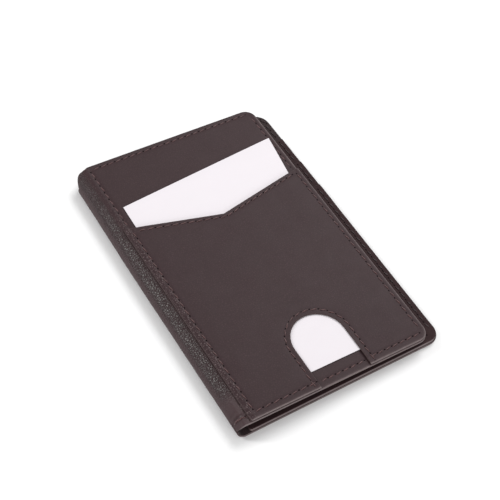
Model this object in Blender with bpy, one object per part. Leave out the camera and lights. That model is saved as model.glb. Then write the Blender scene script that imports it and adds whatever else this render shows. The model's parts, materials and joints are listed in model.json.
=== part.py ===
"""A slim leather bifold, closed and lying on its back leaf. Metres, +Z up.

X runs across from the spine to the free edge and Y along the length. Outlines are drawn in leaf
coordinates, which start at the outside pocket's lower corner beside the spine.
"""

import math

import bmesh
import bpy
from mathutils import Matrix, Vector

MM = 0.001

# The two leaves and the spine that joins them.
LEAF_LENGTH = 109.8 * MM
FRONT_WIDTH = 67.0 * MM
BACK_OVERHANG = 5.7 * MM
BACK_TAIL = 0.4 * MM
SPINE_BULGE = 4.1 * MM
CLOSED_HEIGHT = 7.66 * MM
FREE_EDGE_GAP = 0.87 * MM
FRONT_CORNER = 3.8 * MM
BACK_CORNER = 5.0 * MM
SPINE_CORNER = 1.0 * MM
SPINE_GAP = 0.5 * MM

# Thickness of each layer, and the room that it has.
COVER = 0.6 * MM
LINING = 0.15 * MM
SLOT = 0.35 * MM
WINDOW_FRAME = 0.3 * MM
FILM = 0.1 * MM
PANEL = 0.3 * MM
POCKET = 0.45 * MM
CARD = 0.25 * MM
LAYER_GAP = 0.05 * MM
CARD_ROOM = 0.3 * MM
THREAD_RADIUS = 0.1 * MM

# The outside pocket: a chevron mouth and a thumb notch.
CHEVRON_SPINE_SIDE = 80.4 * MM
CHEVRON_OFF_CENTRE = -0.25 * MM
CHEVRON_POINT_Y = 71.7 * MM
CHEVRON_FREE_SIDE = 78.4 * MM
NOTCH_OFF_CENTRE = 1.15 * MM
NOTCH_WIDTH = 18.5 * MM
NOTCH_TOP = 24.6 * MM

# The blank insert narrows towards its foot, and its head is cut on a slight slant. The pocket stands
# on a sewn rim beside it.
INSERT_HEAD_LEFT = 4.75 * MM
INSERT_HEAD_RIGHT = 1.45 * MM
INSERT_FOOT_RIGHT = 14.6 * MM
INSERT_FOOT = 6.45 * MM
INSERT_SHORT_SIDE = 82.45 * MM
INSERT_LONG_SIDE = 88.35 * MM
POCKET_RIM = 2.6 * MM
INSERT_SIDE_ROOM = 0.4 * MM
INSERT_FOOT_ROOM = 3.3 * MM

# Seams.
SPINE_SEAM_INSET = 2.5 * MM
SEAM_INSET = 1.7 * MM
FOOT_SEAM_INSET = 2.5 * MM
CHEVRON_SEAM_INSET = 1.5 * MM
NOTCH_SEAM_INSET = 1.75 * MM
SEAM_END_ROOM = 2.0 * MM
STEP_START = 0.25 * MM
STEP_END = 0.6 * MM

# Card slots inside the back leaf, in a staggered T-pocket, and their inset from the cover's edge.
INSIDE_INSET = 0.9 * MM
SLOT_HEAD = 15.0 * MM
SLOT_STAGGER = 12.0 * MM
SLOT_STRIP = 18.0 * MM
SLOT_STEM_INSET = 9.0 * MM
SLOT_STEM_FOOT = 8.0 * MM

# The identity window inside the front leaf.
WINDOW_BORDER = 9.4 * MM
WINDOW_FOOT = 14.0 * MM
WINDOW_HEAD = 29.0 * MM
WINDOW_CORNER = 3.0 * MM
FRAME_HEAD = 13.0 * MM
FILM_BORDER = 4.0 * MM

ARC_STEPS = 6
SPINE_STEPS = 18

# What follows from the sizes above, across and along the leaves.
BACK_WIDTH = FRONT_WIDTH + BACK_OVERHANG
CHEVRON_POINT_X = FRONT_WIDTH / 2 + CHEVRON_OFF_CENTRE
NOTCH_CENTRE = FRONT_WIDTH / 2 + NOTCH_OFF_CENTRE
INSERT_FOOT_LEFT = POCKET_RIM + INSERT_SIDE_ROOM
FRONT_SLOT_TOP = LEAF_LENGTH - SLOT_HEAD - 2 * SLOT_STAGGER

# Floors of the back leaf's layers above the table.
BACK_LINING_FLOOR = COVER + LAYER_GAP
REAR_SLOT_FLOOR = BACK_LINING_FLOOR + LINING + LAYER_GAP
MIDDLE_SLOT_FLOOR = REAR_SLOT_FLOOR + SLOT + LAYER_GAP
FRONT_SLOT_FLOOR = MIDDLE_SLOT_FLOOR + SLOT + LAYER_GAP

# Floors of the front leaf's layers above the leaf's inner face.
FILM_FLOOR = WINDOW_FRAME + LAYER_GAP
FRONT_LINING_FLOOR = FILM_FLOOR + FILM + LAYER_GAP
FRONT_COVER_FLOOR = FRONT_LINING_FLOOR + LINING + LAYER_GAP
PANEL_FLOOR = FRONT_COVER_FLOOR + COVER + LAYER_GAP
PANEL_TOP = PANEL_FLOOR + PANEL
INSERT_FLOOR = PANEL_TOP + CARD_ROOM
POCKET_FLOOR = INSERT_FLOOR + CARD + LAYER_GAP
POCKET_TOP = POCKET_FLOOR + POCKET

# The front leaf leans down from the spine until its free edge nearly meets the back leaf. The spine
# is a half round of leather between the two covers.
LEAF_ORIGIN_Z = CLOSED_HEIGHT - POCKET_TOP
SPINE_HEIGHT = LEAF_ORIGIN_Z + FRONT_COVER_FLOOR + COVER
FRONT_TILT = math.asin((LEAF_ORIGIN_Z - FRONT_SLOT_FLOOR - SLOT - FREE_EDGE_GAP) / FRONT_WIDTH)
SPINE_RADIUS = SPINE_HEIGHT / 2
SPINE_CENTRE_X = SPINE_RADIUS - SPINE_BULGE
COVER_START = SPINE_CENTRE_X + SPINE_GAP

# The spine folds at two creases, a quarter of its girth in from each cover.
OPEN_LIFT = (POCKET_TOP - PANEL_FLOOR + LAYER_GAP + 2 * THREAD_RADIUS) / 2
CREASE_X = SPINE_CENTRE_X - SPINE_RADIUS * math.pi / 4
BACK_CREASE_Z = SPINE_RADIUS * (1 - math.pi / 4) + OPEN_LIFT
FRONT_CREASE_Z = SPINE_RADIUS * (1 + math.pi / 4) + OPEN_LIFT

# The object's own origin is the middle of its footprint.
WALLET_FRAME = Matrix.Translation(
    ((SPINE_BULGE - BACK_WIDTH) / 2, (BACK_TAIL - LEAF_LENGTH) / 2, 0)
)
FRONT_FRAME = WALLET_FRAME @ Matrix.Translation((0, 0, LEAF_ORIGIN_Z)) @ Matrix.Rotation(FRONT_TILT, 4, "Y")

PARTS = bpy.data.collections.new("bifold_wallet")
CUTTERS = bpy.data.collections.new("cutters")


def clear_scene():
    for obj in list(bpy.data.objects):
        bpy.data.objects.remove(obj)
    bpy.context.scene.collection.children.link(PARTS)
    bpy.context.scene.collection.children.link(CUTTERS)
    CUTTERS.hide_render = True


def make_material(name, colour, roughness, metallic=0.0):
    material = bpy.data.materials.new(name)
    material.use_nodes = True
    shader = material.node_tree.nodes["Principled BSDF"]
    shader.inputs["Base Color"].default_value = (*colour, 1)
    shader.inputs["Roughness"].default_value = roughness
    shader.inputs["Metallic"].default_value = metallic
    return material


def make_pivot(name, place, parent):
    """An empty on a joint's axis, which what moves on that joint hangs from."""
    pivot = bpy.data.objects.new(name, None)
    PARTS.objects.link(pivot)
    pivot.parent = parent
    pivot.matrix_world = place
    bpy.context.view_layer.update()
    return pivot


def hang(obj, pivot, place, material):
    """Gives the object its material and its place in the world, and parents it to the pivot."""
    obj.parent = pivot
    obj.matrix_parent_inverse = pivot.matrix_world.inverted()
    obj.matrix_world = place
    obj.data.materials.append(material)
    return obj


def rounded_outline(corners):
    """The points of a closed outline from corners given as (x, y, radius)."""
    points = []
    for index, (x, y, radius) in enumerate(corners):
        corner = Vector((x, y))
        if radius == 0:
            points.append(corner)
            continue
        back = (Vector(corners[index - 1][:2]) - corner).normalized()
        ahead = (Vector(corners[(index + 1) % len(corners)][:2]) - corner).normalized()
        half_angle = back.angle(ahead) / 2
        centre = corner + (back + ahead).normalized() * radius / math.sin(half_angle)
        start = corner + back * radius / math.tan(half_angle) - centre
        end = corner + ahead * radius / math.tan(half_angle) - centre
        turn = math.atan2(start.cross(end), start.dot(end))
        for step in range(ARC_STEPS + 1):
            spoke = start.copy()
            spoke.rotate(Matrix.Rotation(turn * step / ARC_STEPS, 2))
            if not points or (centre + spoke - points[-1]).length > LAYER_GAP:
                points.append(centre + spoke)
    return points


def rectangle(left, foot, right, top, radius=0.0):
    return [(left, foot, radius), (right, foot, radius), (right, top, radius), (left, top, radius)]


def add_spline(curve, points, cyclic):
    spline = curve.splines.new("POLY")
    spline.points.add(len(points) - 1)
    for target, point in zip(spline.points, points):
        target.co = (*point.to_3d(), 1)
    spline.use_cyclic_u = cyclic


def cut_sheet(name, outlines, thickness):
    """A flat sheet with its lower face at z = 0; outlines after the first are holes."""
    curve = bpy.data.curves.new(name, "CURVE")
    curve.dimensions = "2D"
    curve.fill_mode = "BOTH"
    curve.extrude = thickness / 2
    for corners in outlines:
        add_spline(curve, rounded_outline(corners), cyclic=True)
    flat = bpy.data.objects.new(name + "_outline", curve)
    PARTS.objects.link(flat)
    evaluated = flat.evaluated_get(bpy.context.evaluated_depsgraph_get())
    mesh = bpy.data.meshes.new_from_object(evaluated)
    bpy.data.objects.remove(flat)
    work = bmesh.new()
    work.from_mesh(mesh)
    bmesh.ops.remove_doubles(work, verts=work.verts, dist=LAYER_GAP / 10)
    bmesh.ops.translate(work, verts=work.verts, vec=(0, 0, thickness / 2))
    bmesh.ops.recalc_face_normals(work, faces=work.faces)
    work.to_mesh(mesh)
    work.free()
    sheet = bpy.data.objects.new(name, mesh)
    PARTS.objects.link(sheet)
    return sheet


def run_thread(name, path, cyclic):
    """A round thread along points that lie on the leather; it clears them by the layer gap."""
    curve = bpy.data.curves.new(name, "CURVE")
    curve.dimensions = "3D"
    curve.bevel_depth = THREAD_RADIUS
    curve.bevel_resolution = 1
    curve.use_fill_caps = not cyclic
    add_spline(curve, path, cyclic)
    thread = bpy.data.objects.new(name, curve)
    PARTS.objects.link(thread)
    return thread


def half_round(name, radius, thickness, length):
    """The spine's section, a half ring open towards +X, drawn in X and Z and run along Y."""
    curve = bpy.data.curves.new(name, "CURVE")
    curve.dimensions = "2D"
    curve.fill_mode = "BOTH"
    curve.extrude = length / 2
    angles = [math.pi * (0.5 + step / SPINE_STEPS) for step in range(SPINE_STEPS + 1)]
    outer = [Vector((math.cos(angle), math.sin(angle))) * radius for angle in angles]
    inner = [point * (radius - thickness) / radius for point in reversed(outer)]
    add_spline(curve, outer + inner, cyclic=True)
    strip = bpy.data.objects.new(name, curve)
    PARTS.objects.link(strip)
    return strip


def mouth_height(x):
    """Where the pocket's chevron mouth is above its foot, at a distance x from the spine side."""
    if x < CHEVRON_POINT_X:
        share = 1 - x / CHEVRON_POINT_X
        return CHEVRON_POINT_Y + share * (CHEVRON_SPINE_SIDE - CHEVRON_POINT_Y)
    share = (x - CHEVRON_POINT_X) / (FRONT_WIDTH - CHEVRON_POINT_X)
    return CHEVRON_POINT_Y + share * (CHEVRON_FREE_SIDE - CHEVRON_POINT_Y)


def on_front(x, y):
    """A thread's point on the outside of the front leaf, on the pocket or on the panel behind it."""
    half_step = (STEP_START + STEP_END) / 2
    past_arch_foot = max(0.0, y - NOTCH_TOP + NOTCH_WIDTH / 2)
    in_notch = math.hypot(x - NOTCH_CENTRE, past_arch_foot) < NOTCH_WIDTH / 2 - half_step
    above_mouth = y > mouth_height(x) + half_step
    top = PANEL_TOP if in_notch or above_mouth else POCKET_TOP
    return Vector((x, y, top + LAYER_GAP + THREAD_RADIUS))


def on_back(x, y):
    """A thread's point inside the back leaf, on the topmost slot panel there or on the lining."""
    levels = [
        (FRONT_SLOT_TOP, FRONT_SLOT_FLOOR + SLOT),
        (FRONT_SLOT_TOP + SLOT_STAGGER, MIDDLE_SLOT_FLOOR + SLOT),
        (FRONT_SLOT_TOP + 2 * SLOT_STAGGER, REAR_SLOT_FLOOR + SLOT),
    ]
    for mouth, top in levels:
        if y < mouth + (STEP_START + STEP_END) / 2:
            return Vector((x, y, top + LAYER_GAP + THREAD_RADIUS))
    return Vector((x, y, BACK_LINING_FLOOR + LINING + LAYER_GAP + THREAD_RADIUS))


def step_over(x, mouth, upwards):
    """Two points of a seam where it drops over, or climbs, the mouth of a pocket."""
    ends = [(x, mouth + STEP_START, 0), (x, mouth + STEP_END, 0)]
    return ends if upwards else ends[::-1]


def build_back_leaf(root, leather, lining, thread):
    cover = cut_sheet(
        "back_cover",
        [
            [
                (COVER_START, -BACK_TAIL, SPINE_CORNER),
                (BACK_WIDTH, -BACK_TAIL, BACK_CORNER),
                (BACK_WIDTH, LEAF_LENGTH, BACK_CORNER),
                (COVER_START, LEAF_LENGTH, SPINE_CORNER),
            ]
        ],
        COVER,
    )
    hang(cover, root, WALLET_FRAME, leather)

    left = INSIDE_INSET
    right = BACK_WIDTH - INSIDE_INSET
    foot = INSIDE_INSET - BACK_TAIL
    top = LEAF_LENGTH - INSIDE_INSET
    corner = BACK_CORNER - INSIDE_INSET
    sheet = cut_sheet("back_lining", [rectangle(left, foot, right, top, corner)], LINING)
    hang(sheet, root, WALLET_FRAME @ Matrix.Translation((0, 0, BACK_LINING_FLOOR)), lining)

    slots = [
        ("back_slot_middle", FRONT_SLOT_TOP + SLOT_STAGGER, MIDDLE_SLOT_FLOOR),
        ("back_slot_rear", FRONT_SLOT_TOP + 2 * SLOT_STAGGER, REAR_SLOT_FLOOR),
    ]
    for name, mouth, floor in slots:
        shoulder = mouth - SLOT_STRIP
        tee = [
            (left, mouth, 0),
            (left, shoulder, 0),
            (left + SLOT_STEM_INSET, shoulder, 0),
            (left + SLOT_STEM_INSET, SLOT_STEM_FOOT, 0),
            (right - SLOT_STEM_INSET, SLOT_STEM_FOOT, 0),
            (right - SLOT_STEM_INSET, shoulder, 0),
            (right, shoulder, 0),
            (right, mouth, 0),
        ]
        sheet = cut_sheet(name, [tee], SLOT)
        hang(sheet, root, WALLET_FRAME @ Matrix.Translation((0, 0, floor)), leather)
    front_slot = [
        (left, foot, corner),
        (right, foot, corner),
        (right, FRONT_SLOT_TOP, 0),
        (left, FRONT_SLOT_TOP, 0),
    ]
    sheet = cut_sheet("back_slot_front", [front_slot], SLOT)
    hang(sheet, root, WALLET_FRAME @ Matrix.Translation((0, 0, FRONT_SLOT_FLOOR)), leather)

    mouths = {"front": 0, "middle": 1, "rear": 2}
    seam_left = left + SEAM_INSET
    seam_right = right - SEAM_INSET
    for label, order in mouths.items():
        line = FRONT_SLOT_TOP + order * SLOT_STAGGER - SEAM_INSET
        ends = [on_back(seam_left + SEAM_END_ROOM, line), on_back(seam_right - SEAM_END_ROOM, line)]
        row = run_thread(f"slot_thread_{label}", ends, cyclic=False)
        hang(row, root, WALLET_FRAME, thread)

    seam_foot = foot + SEAM_INSET
    seam_top = top - SEAM_INSET
    heights = [FRONT_SLOT_TOP + order * SLOT_STAGGER for order in mouths.values()]
    loop = [(seam_left, seam_foot, corner), (seam_right, seam_foot, corner)]
    for mouth in heights:
        loop += step_over(seam_right, mouth, upwards=True)
    loop += [(seam_right, seam_top, corner), (seam_left, seam_top, corner)]
    for mouth in reversed(heights):
        loop += step_over(seam_left, mouth, upwards=False)
    path = [on_back(point.x, point.y) for point in rounded_outline(loop)]
    hang(run_thread("back_seam_thread", path, cyclic=True), root, WALLET_FRAME, thread)


def build_spine(pivot, leather, lining):
    axis = Matrix.Translation((SPINE_CENTRE_X, LEAF_LENGTH / 2, SPINE_RADIUS))
    place = WALLET_FRAME @ axis @ Matrix.Rotation(math.pi / 2, 4, "X")
    hang(half_round("spine_cover", SPINE_RADIUS, COVER, LEAF_LENGTH), pivot, place, leather)
    inside_radius = SPINE_RADIUS - COVER - LAYER_GAP
    inside = half_round("spine_lining", inside_radius, LINING, LEAF_LENGTH - 2 * INSIDE_INSET)
    hang(inside, pivot, place, lining)


def build_front_layers(pivot, leather, lining, film, thread):
    """Everything of the front leaf that lies under the outside pocket, from the inside out."""
    left = INSIDE_INSET
    right = FRONT_WIDTH - INSIDE_INSET
    foot = INSIDE_INSET
    top = LEAF_LENGTH - INSIDE_INSET
    corner = FRONT_CORNER - INSIDE_INSET
    window = (left + WINDOW_BORDER, WINDOW_FOOT, right - WINDOW_BORDER, LEAF_LENGTH - WINDOW_HEAD)

    frame_top = LEAF_LENGTH - FRAME_HEAD
    outside = [(left, foot, corner), (right, foot, corner), (right, frame_top, 0), (left, frame_top, 0)]
    frame = cut_sheet("window_frame", [outside, rectangle(*window, WINDOW_CORNER)], WINDOW_FRAME)
    hang(frame, pivot, FRONT_FRAME, leather)

    border = (-FILM_BORDER, -FILM_BORDER, FILM_BORDER, FILM_BORDER)
    film_edges = [edge + extra for edge, extra in zip(window, border)]
    sheet = cut_sheet("id_window", [rectangle(*film_edges)], FILM)
    hang(sheet, pivot, FRONT_FRAME @ Matrix.Translation((0, 0, FILM_FLOOR)), film)

    margin = (-SEAM_INSET, -SEAM_INSET, SEAM_INSET, SEAM_INSET)
    seam_edges = [edge + extra for edge, extra in zip(window, margin)]
    below = -LAYER_GAP - THREAD_RADIUS
    path = [
        Vector((point.x, point.y, below))
        for point in rounded_outline(rectangle(*seam_edges, WINDOW_CORNER + SEAM_INSET))
    ]
    hang(run_thread("window_thread", path, cyclic=True), pivot, FRONT_FRAME, thread)

    sheet = cut_sheet("front_lining", [rectangle(left, foot, right, top, corner)], LINING)
    hang(sheet, pivot, FRONT_FRAME @ Matrix.Translation((0, 0, FRONT_LINING_FLOOR)), lining)

    for name, start, floor, thickness in (
        ("front_cover", COVER_START, FRONT_COVER_FLOOR, COVER),
        ("front_panel", 0.0, PANEL_FLOOR, PANEL),
    ):
        outline = [
            (start, 0, SPINE_CORNER),
            (FRONT_WIDTH, 0, FRONT_CORNER),
            (FRONT_WIDTH, LEAF_LENGTH, FRONT_CORNER),
            (start, LEAF_LENGTH, SPINE_CORNER),
        ]
        sheet = cut_sheet(name, [outline], thickness)
        hang(sheet, pivot, FRONT_FRAME @ Matrix.Translation((0, 0, floor)), leather)


def build_thumb_pocket(pivot, leather):
    """The outside pocket: a panel on a rim that stands round three sides of the insert."""
    rim_floor = PANEL_TOP + LAYER_GAP
    notch_left = NOTCH_CENTRE - NOTCH_WIDTH / 2
    notch_right = NOTCH_CENTRE + NOTCH_WIDTH / 2
    outline = [
        (0, 0, SPINE_CORNER),
        (notch_left, 0, 0),
        (notch_left, NOTCH_TOP, NOTCH_WIDTH / 2),
        (notch_right, NOTCH_TOP, NOTCH_WIDTH / 2),
        (notch_right, 0, 0),
        (FRONT_WIDTH, 0, FRONT_CORNER),
        (FRONT_WIDTH, CHEVRON_FREE_SIDE, 0),
        (CHEVRON_POINT_X, CHEVRON_POINT_Y, 0),
        (0, CHEVRON_SPINE_SIDE, 0),
    ]
    pocket = cut_sheet("thumb_pocket", [outline], POCKET_TOP - rim_floor)
    hang(pocket, pivot, FRONT_FRAME @ Matrix.Translation((0, 0, rim_floor)), leather)

    room = rectangle(
        POCKET_RIM,
        INSERT_FOOT - INSERT_FOOT_ROOM,
        FRONT_WIDTH - POCKET_RIM,
        LEAF_LENGTH,
    )
    cutter = cut_sheet("insert_room", [room], POCKET_FLOOR - PANEL_TOP)
    hang(cutter, pivot, FRONT_FRAME @ Matrix.Translation((0, 0, PANEL_TOP)), leather)
    PARTS.objects.unlink(cutter)
    CUTTERS.objects.link(cutter)
    cutter.hide_render = True
    cutter.display_type = "WIRE"
    cut = pocket.modifiers.new("insert_room", "BOOLEAN")
    cut.operation = "DIFFERENCE"
    cut.object = cutter


def build_front_seams(pivot, thread):
    left = SPINE_SEAM_INSET
    right = FRONT_WIDTH - SEAM_INSET
    top = LEAF_LENGTH - SEAM_INSET
    corner = FRONT_CORNER - SEAM_INSET
    notch_left = NOTCH_CENTRE - NOTCH_WIDTH / 2
    notch_right = NOTCH_CENTRE + NOTCH_WIDTH / 2
    loop = [
        (left, FOOT_SEAM_INSET, 0),
        (notch_left + STEP_START, FOOT_SEAM_INSET, 0),
        (notch_left + STEP_END, FOOT_SEAM_INSET, 0),
        (notch_right - STEP_END, FOOT_SEAM_INSET, 0),
        (notch_right - STEP_START, FOOT_SEAM_INSET, 0),
        (right, FOOT_SEAM_INSET, corner),
        *step_over(right, mouth_height(right), upwards=True),
        (right, top, corner),
        (left, top, 0),
        *step_over(left, mouth_height(left), upwards=False),
    ]
    path = [on_front(point.x, point.y) for point in rounded_outline(loop)]
    hang(run_thread("front_seam_thread", path, cyclic=True), pivot, FRONT_FRAME, thread)

    starts = (left + SEAM_END_ROOM, CHEVRON_POINT_X, right - SEAM_END_ROOM)
    path = [on_front(x, mouth_height(x) - CHEVRON_SEAM_INSET) for x in starts]
    hang(run_thread("chevron_thread", path, cyclic=False), pivot, FRONT_FRAME, thread)

    radius = NOTCH_WIDTH / 2 + NOTCH_SEAM_INSET
    arch_foot = NOTCH_TOP - NOTCH_WIDTH / 2
    start = FOOT_SEAM_INSET + SEAM_END_ROOM
    arch = [on_front(NOTCH_CENTRE - radius, start)]
    for step in range(2 * ARC_STEPS + 1):
        angle = math.pi * (1 - step / (2 * ARC_STEPS))
        arch.append(on_front(NOTCH_CENTRE + radius * math.cos(angle), arch_foot + radius * math.sin(angle)))
    arch.append(on_front(NOTCH_CENTRE + radius, start))
    hang(run_thread("notch_thread", arch, cyclic=False), pivot, FRONT_FRAME, thread)


def build_insert(pivot, paper):
    outline = [
        (INSERT_FOOT_LEFT, INSERT_FOOT, 0),
        (FRONT_WIDTH - INSERT_FOOT_RIGHT, INSERT_FOOT, 0),
        (FRONT_WIDTH - INSERT_HEAD_RIGHT, INSERT_FOOT + INSERT_LONG_SIDE, 0),
        (INSERT_HEAD_LEFT, INSERT_FOOT + INSERT_SHORT_SIDE, 0),
    ]
    card = cut_sheet("insert_card", [outline], CARD)
    hang(card, pivot, FRONT_FRAME @ Matrix.Translation((0, 0, INSERT_FLOOR)), paper)


def build_wallet():
    clear_scene()
    leather = make_material("leather", (0.075, 0.052, 0.055), 0.55)
    lining = make_material("lining", (0.030, 0.026, 0.028), 0.85)
    thread = make_material("thread", (0.060, 0.035, 0.036), 0.7)
    paper = make_material("paper", (0.95, 0.94, 0.95), 0.6)
    film = make_material("film", (0.80, 0.82, 0.84), 0.1)

    root = make_pivot("back_leaf", WALLET_FRAME, None)
    back_crease = WALLET_FRAME @ Matrix.Translation((CREASE_X, 0, BACK_CREASE_Z))
    spine = make_pivot("back_crease", back_crease, root)
    front_crease = WALLET_FRAME @ Matrix.Translation((CREASE_X, 0, FRONT_CREASE_Z))
    front = make_pivot("front_crease", front_crease, spine)
    slide = make_pivot("insert_slide", FRONT_FRAME, front)

    build_back_leaf(root, leather, lining, thread)
    build_spine(spine, leather, lining)
    build_front_layers(front, leather, lining, film, thread)
    build_thumb_pocket(front, leather)
    build_front_seams(front, thread)
    build_insert(slide, paper)


build_wallet()
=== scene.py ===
"""Looks of the slim leather bifold: sewn leather, lining, thread, film and a paper insert."""

import json
import math

import bmesh
import bpy
import numpy as np
from mathutils import Matrix, Quaternion, Vector, noise


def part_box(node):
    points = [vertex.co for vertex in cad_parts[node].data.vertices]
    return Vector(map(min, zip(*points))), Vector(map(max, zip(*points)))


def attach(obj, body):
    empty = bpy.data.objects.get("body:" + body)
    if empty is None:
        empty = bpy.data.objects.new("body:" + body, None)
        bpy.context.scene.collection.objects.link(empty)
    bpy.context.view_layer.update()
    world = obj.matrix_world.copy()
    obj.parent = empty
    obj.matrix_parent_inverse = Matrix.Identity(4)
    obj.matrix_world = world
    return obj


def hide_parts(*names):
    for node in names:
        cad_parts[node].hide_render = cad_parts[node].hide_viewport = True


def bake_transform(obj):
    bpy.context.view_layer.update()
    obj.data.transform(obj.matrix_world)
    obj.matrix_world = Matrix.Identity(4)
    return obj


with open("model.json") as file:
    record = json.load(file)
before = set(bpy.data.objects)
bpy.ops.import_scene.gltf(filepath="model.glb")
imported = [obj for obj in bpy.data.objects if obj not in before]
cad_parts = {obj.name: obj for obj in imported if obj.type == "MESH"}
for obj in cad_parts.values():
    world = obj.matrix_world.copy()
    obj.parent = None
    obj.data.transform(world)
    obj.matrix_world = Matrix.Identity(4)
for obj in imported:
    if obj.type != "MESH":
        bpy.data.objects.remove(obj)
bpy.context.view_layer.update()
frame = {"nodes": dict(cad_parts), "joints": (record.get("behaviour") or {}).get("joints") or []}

MM = 0.001

# Layers, with the clearances that the CAD model keeps between them.
LAYER_GAP = 0.05 * MM
COVER = 0.6 * MM
LINING = 0.15 * MM
SLOT = 0.35 * MM
WINDOW_FRAME = 0.3 * MM
FILM = 0.1 * MM
PANEL = 0.3 * MM
POCKET = 0.5 * MM
POCKET_MARGIN = 0.7 * MM
CARD_ROOM = 0.08 * MM
CARD = 0.25 * MM
FRONT_LINING_FLOOR = WINDOW_FRAME + FILM + 2 * LAYER_GAP
FRONT_COVER_FLOOR = FRONT_LINING_FLOOR + LINING + LAYER_GAP
PANEL_FLOOR = FRONT_COVER_FLOOR + COVER + LAYER_GAP
PANEL_TOP = PANEL_FLOOR + PANEL
CARD_FLOOR = PANEL_TOP + CARD_ROOM
POCKET_TOP = PANEL_TOP + LAYER_GAP + POCKET_MARGIN
POCKET_PUFF = 0.15 * MM
NOTCH_DIP = 0.35
WAVE = 0.05 * MM
BACK_LINING_FLOOR = COVER + LAYER_GAP
REAR_SLOT_FLOOR = BACK_LINING_FLOOR + LINING + LAYER_GAP
MIDDLE_SLOT_FLOOR = REAR_SLOT_FLOOR + SLOT + LAYER_GAP
FRONT_SLOT_FLOOR = MIDDLE_SLOT_FLOOR + SLOT + LAYER_GAP

# Seams.
SPINE_SEAM = 2.5 * MM
SEAM = 1.7 * MM
FOOT_SEAM = 2.5 * MM
CHEVRON_SEAM = 1.5 * MM
NOTCH_SEAM = 1.75 * MM
STITCH_PITCH = 3.26 * MM
CROSS_PITCH = 2.75 * MM
STITCH_LENGTH = 2.3 * MM
STITCH_SLANT = math.radians(5.0)
THREAD_RADIUS = 0.17 * MM
STITCH_RINGS = 9
STITCH_SIDES = 8
HOLE_RADIUS = 0.34 * MM
HOLE_SIDES = 10
HOLE_DEPTH = 0.12 * MM
# A hole's rings from its rim inwards: share of the radius, and height over the leather.
HOLE_LEVELS = [(1.0, 0.02 * MM), (0.85, 0.07 * MM), (0.35, 0.05 * MM)]
PANEL_SEAM_SUNK = 0.1 * MM
TACK_PITCH = 1.5 * MM
GROOVE_DEPTH = 0.14 * MM
GROOVE_WIDTH = 0.55 * MM
# Grooves in thinner or tighter leather, as a share of GROOVE_DEPTH.
PANEL_GROOVE = 1.2
SLOT_GROOVE = 0.6
FRAME_GROOVE = 0.5
# A seam stops this far below a pocket's mouth, starts again this far above it, and ends this far
# short of a cut edge.
SEAM_BELOW = 0.5 * MM
SEAM_ABOVE = 0.6 * MM
SEAM_SHORT = 0.4 * MM
# How far the inside's leather, and the stack under it at the foot, stay within the leaf's edge.
INSIDE_INSET = 0.9 * MM
STACK_INSET = 0.25 * MM

# Outline details.
FRONT_CORNER = 3.8 * MM
BACK_CORNER = 5.0 * MM
SMALL_CORNER = 1.0 * MM
NOTCH_WIDTH = 18.5 * MM
NOTCH_TOP = 24.6 * MM
NOTCH_OFF_CENTRE = 1.15 * MM
CHEVRON_OFF_CENTRE = -0.25 * MM
CHEVRON_DROP = 8.7 * MM
CHEVRON_FREE_SIDE_DROP = 2.0 * MM
SPINE_HEAD_SQUEEZE = 0.15
NARROWING = 0.8 * MM
BACK_HEAD_DROP = 0.6 * MM
# How the leather is cut back round the spine, at the foot and the head: the share of the way from
# where it bends to the spine's middle, and how far the edge is cut back there, in mm.
FOOT_CUTS = [(1.4, 0.9), (1.0, 0.85), (0.8, 0.65), (0.5, 0.25), (0.2, 0.0)]
HEAD_CUTS = [
    (-0.6, 0.0), (-0.33, 0.3), (-0.12, 0.8), (0.1, 1.3), (0.3, 1.95), (0.5, 2.9), (0.6, 3.55),
    (0.7, 4.3), (0.8, 5.05), (0.9, 5.6), (1.0, 5.8), (1.4, 5.8),
]
SHOULDER_RIDGE = 0.18 * MM
RIDGE_X = -1.9 * MM
RIDGE_WIDTH = 1.1 * MM
# Creases across the spine's foot, in mm: height above the foot, depth and width.
FOOT_FOLDS = ((3.6, 0.30, 0.45), (2.5, 0.24, 0.35), (1.7, 0.16, 0.3), (5.1, 0.10, 0.6))
# The creases slope about this X, and all of the shoulder's relief starts at SHOULDER_X.
FOLD_SLOPE = 0.12
FOLD_X = -2.0 * MM
SHOULDER_X = 0.2 * MM
# Over what distance the relief of bent leather comes, from the flat leaf on.
BESIDE = 0.8 * MM
POCKET_SIDE = 0.3 * MM
POCKET_FOOT = 0.25 * MM
SKIVE_WIDTH = 1.6 * MM
PANEL_SKIVE = 0.22 * MM
POCKET_SKIVE = 0.35 * MM
SLOT_STAGGER = 12.0 * MM
SLOT_STRIP = 18.0 * MM
SLOT_STEM_INSET = 9.0 * MM
SLOT_STEM_FOOT = 8.0 * MM
WINDOW_CORNER = 3.0 * MM
WINDOW_SIDE = 9.4 * MM
FILM_BORDER = 4.0 * MM
INSERT_TAPER = 13.15 * MM
INSERT_LEAN = 1.75 * MM
INSERT_SLANT = 5.9 * MM

# The leaves, from the CAD nodes' boxes.
JOINTS = {joint["name"]: joint for joint in frame["joints"]}
TILT = math.radians(JOINTS["front_crease"]["range_deg"][1] - JOINTS["back_crease"]["range_deg"][1])
PANEL_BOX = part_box("front_panel")
LEFT_X = PANEL_BOX[0].x - PANEL_FLOOR * math.sin(TILT)
FOOT_Y = PANEL_BOX[0].y
LEAF_Z = PANEL_BOX[1].z - PANEL_TOP * math.cos(TILT)
FRONT_WIDTH = (PANEL_BOX[1].x - LEFT_X - PANEL_TOP * math.sin(TILT)) / math.cos(TILT)
LENGTH = PANEL_BOX[1].y - FOOT_Y
BACK_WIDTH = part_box("back_cover")[1].x - LEFT_X
BACK_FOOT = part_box("back_cover")[0].y - FOOT_Y
BACK_HEAD = LENGTH - BACK_HEAD_DROP
CHEVRON_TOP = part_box("thumb_pocket")[1].y - FOOT_Y
CHEVRON_X = FRONT_WIDTH / 2 + CHEVRON_OFF_CENTRE
CHEVRON_Y = CHEVRON_TOP - CHEVRON_DROP
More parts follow.
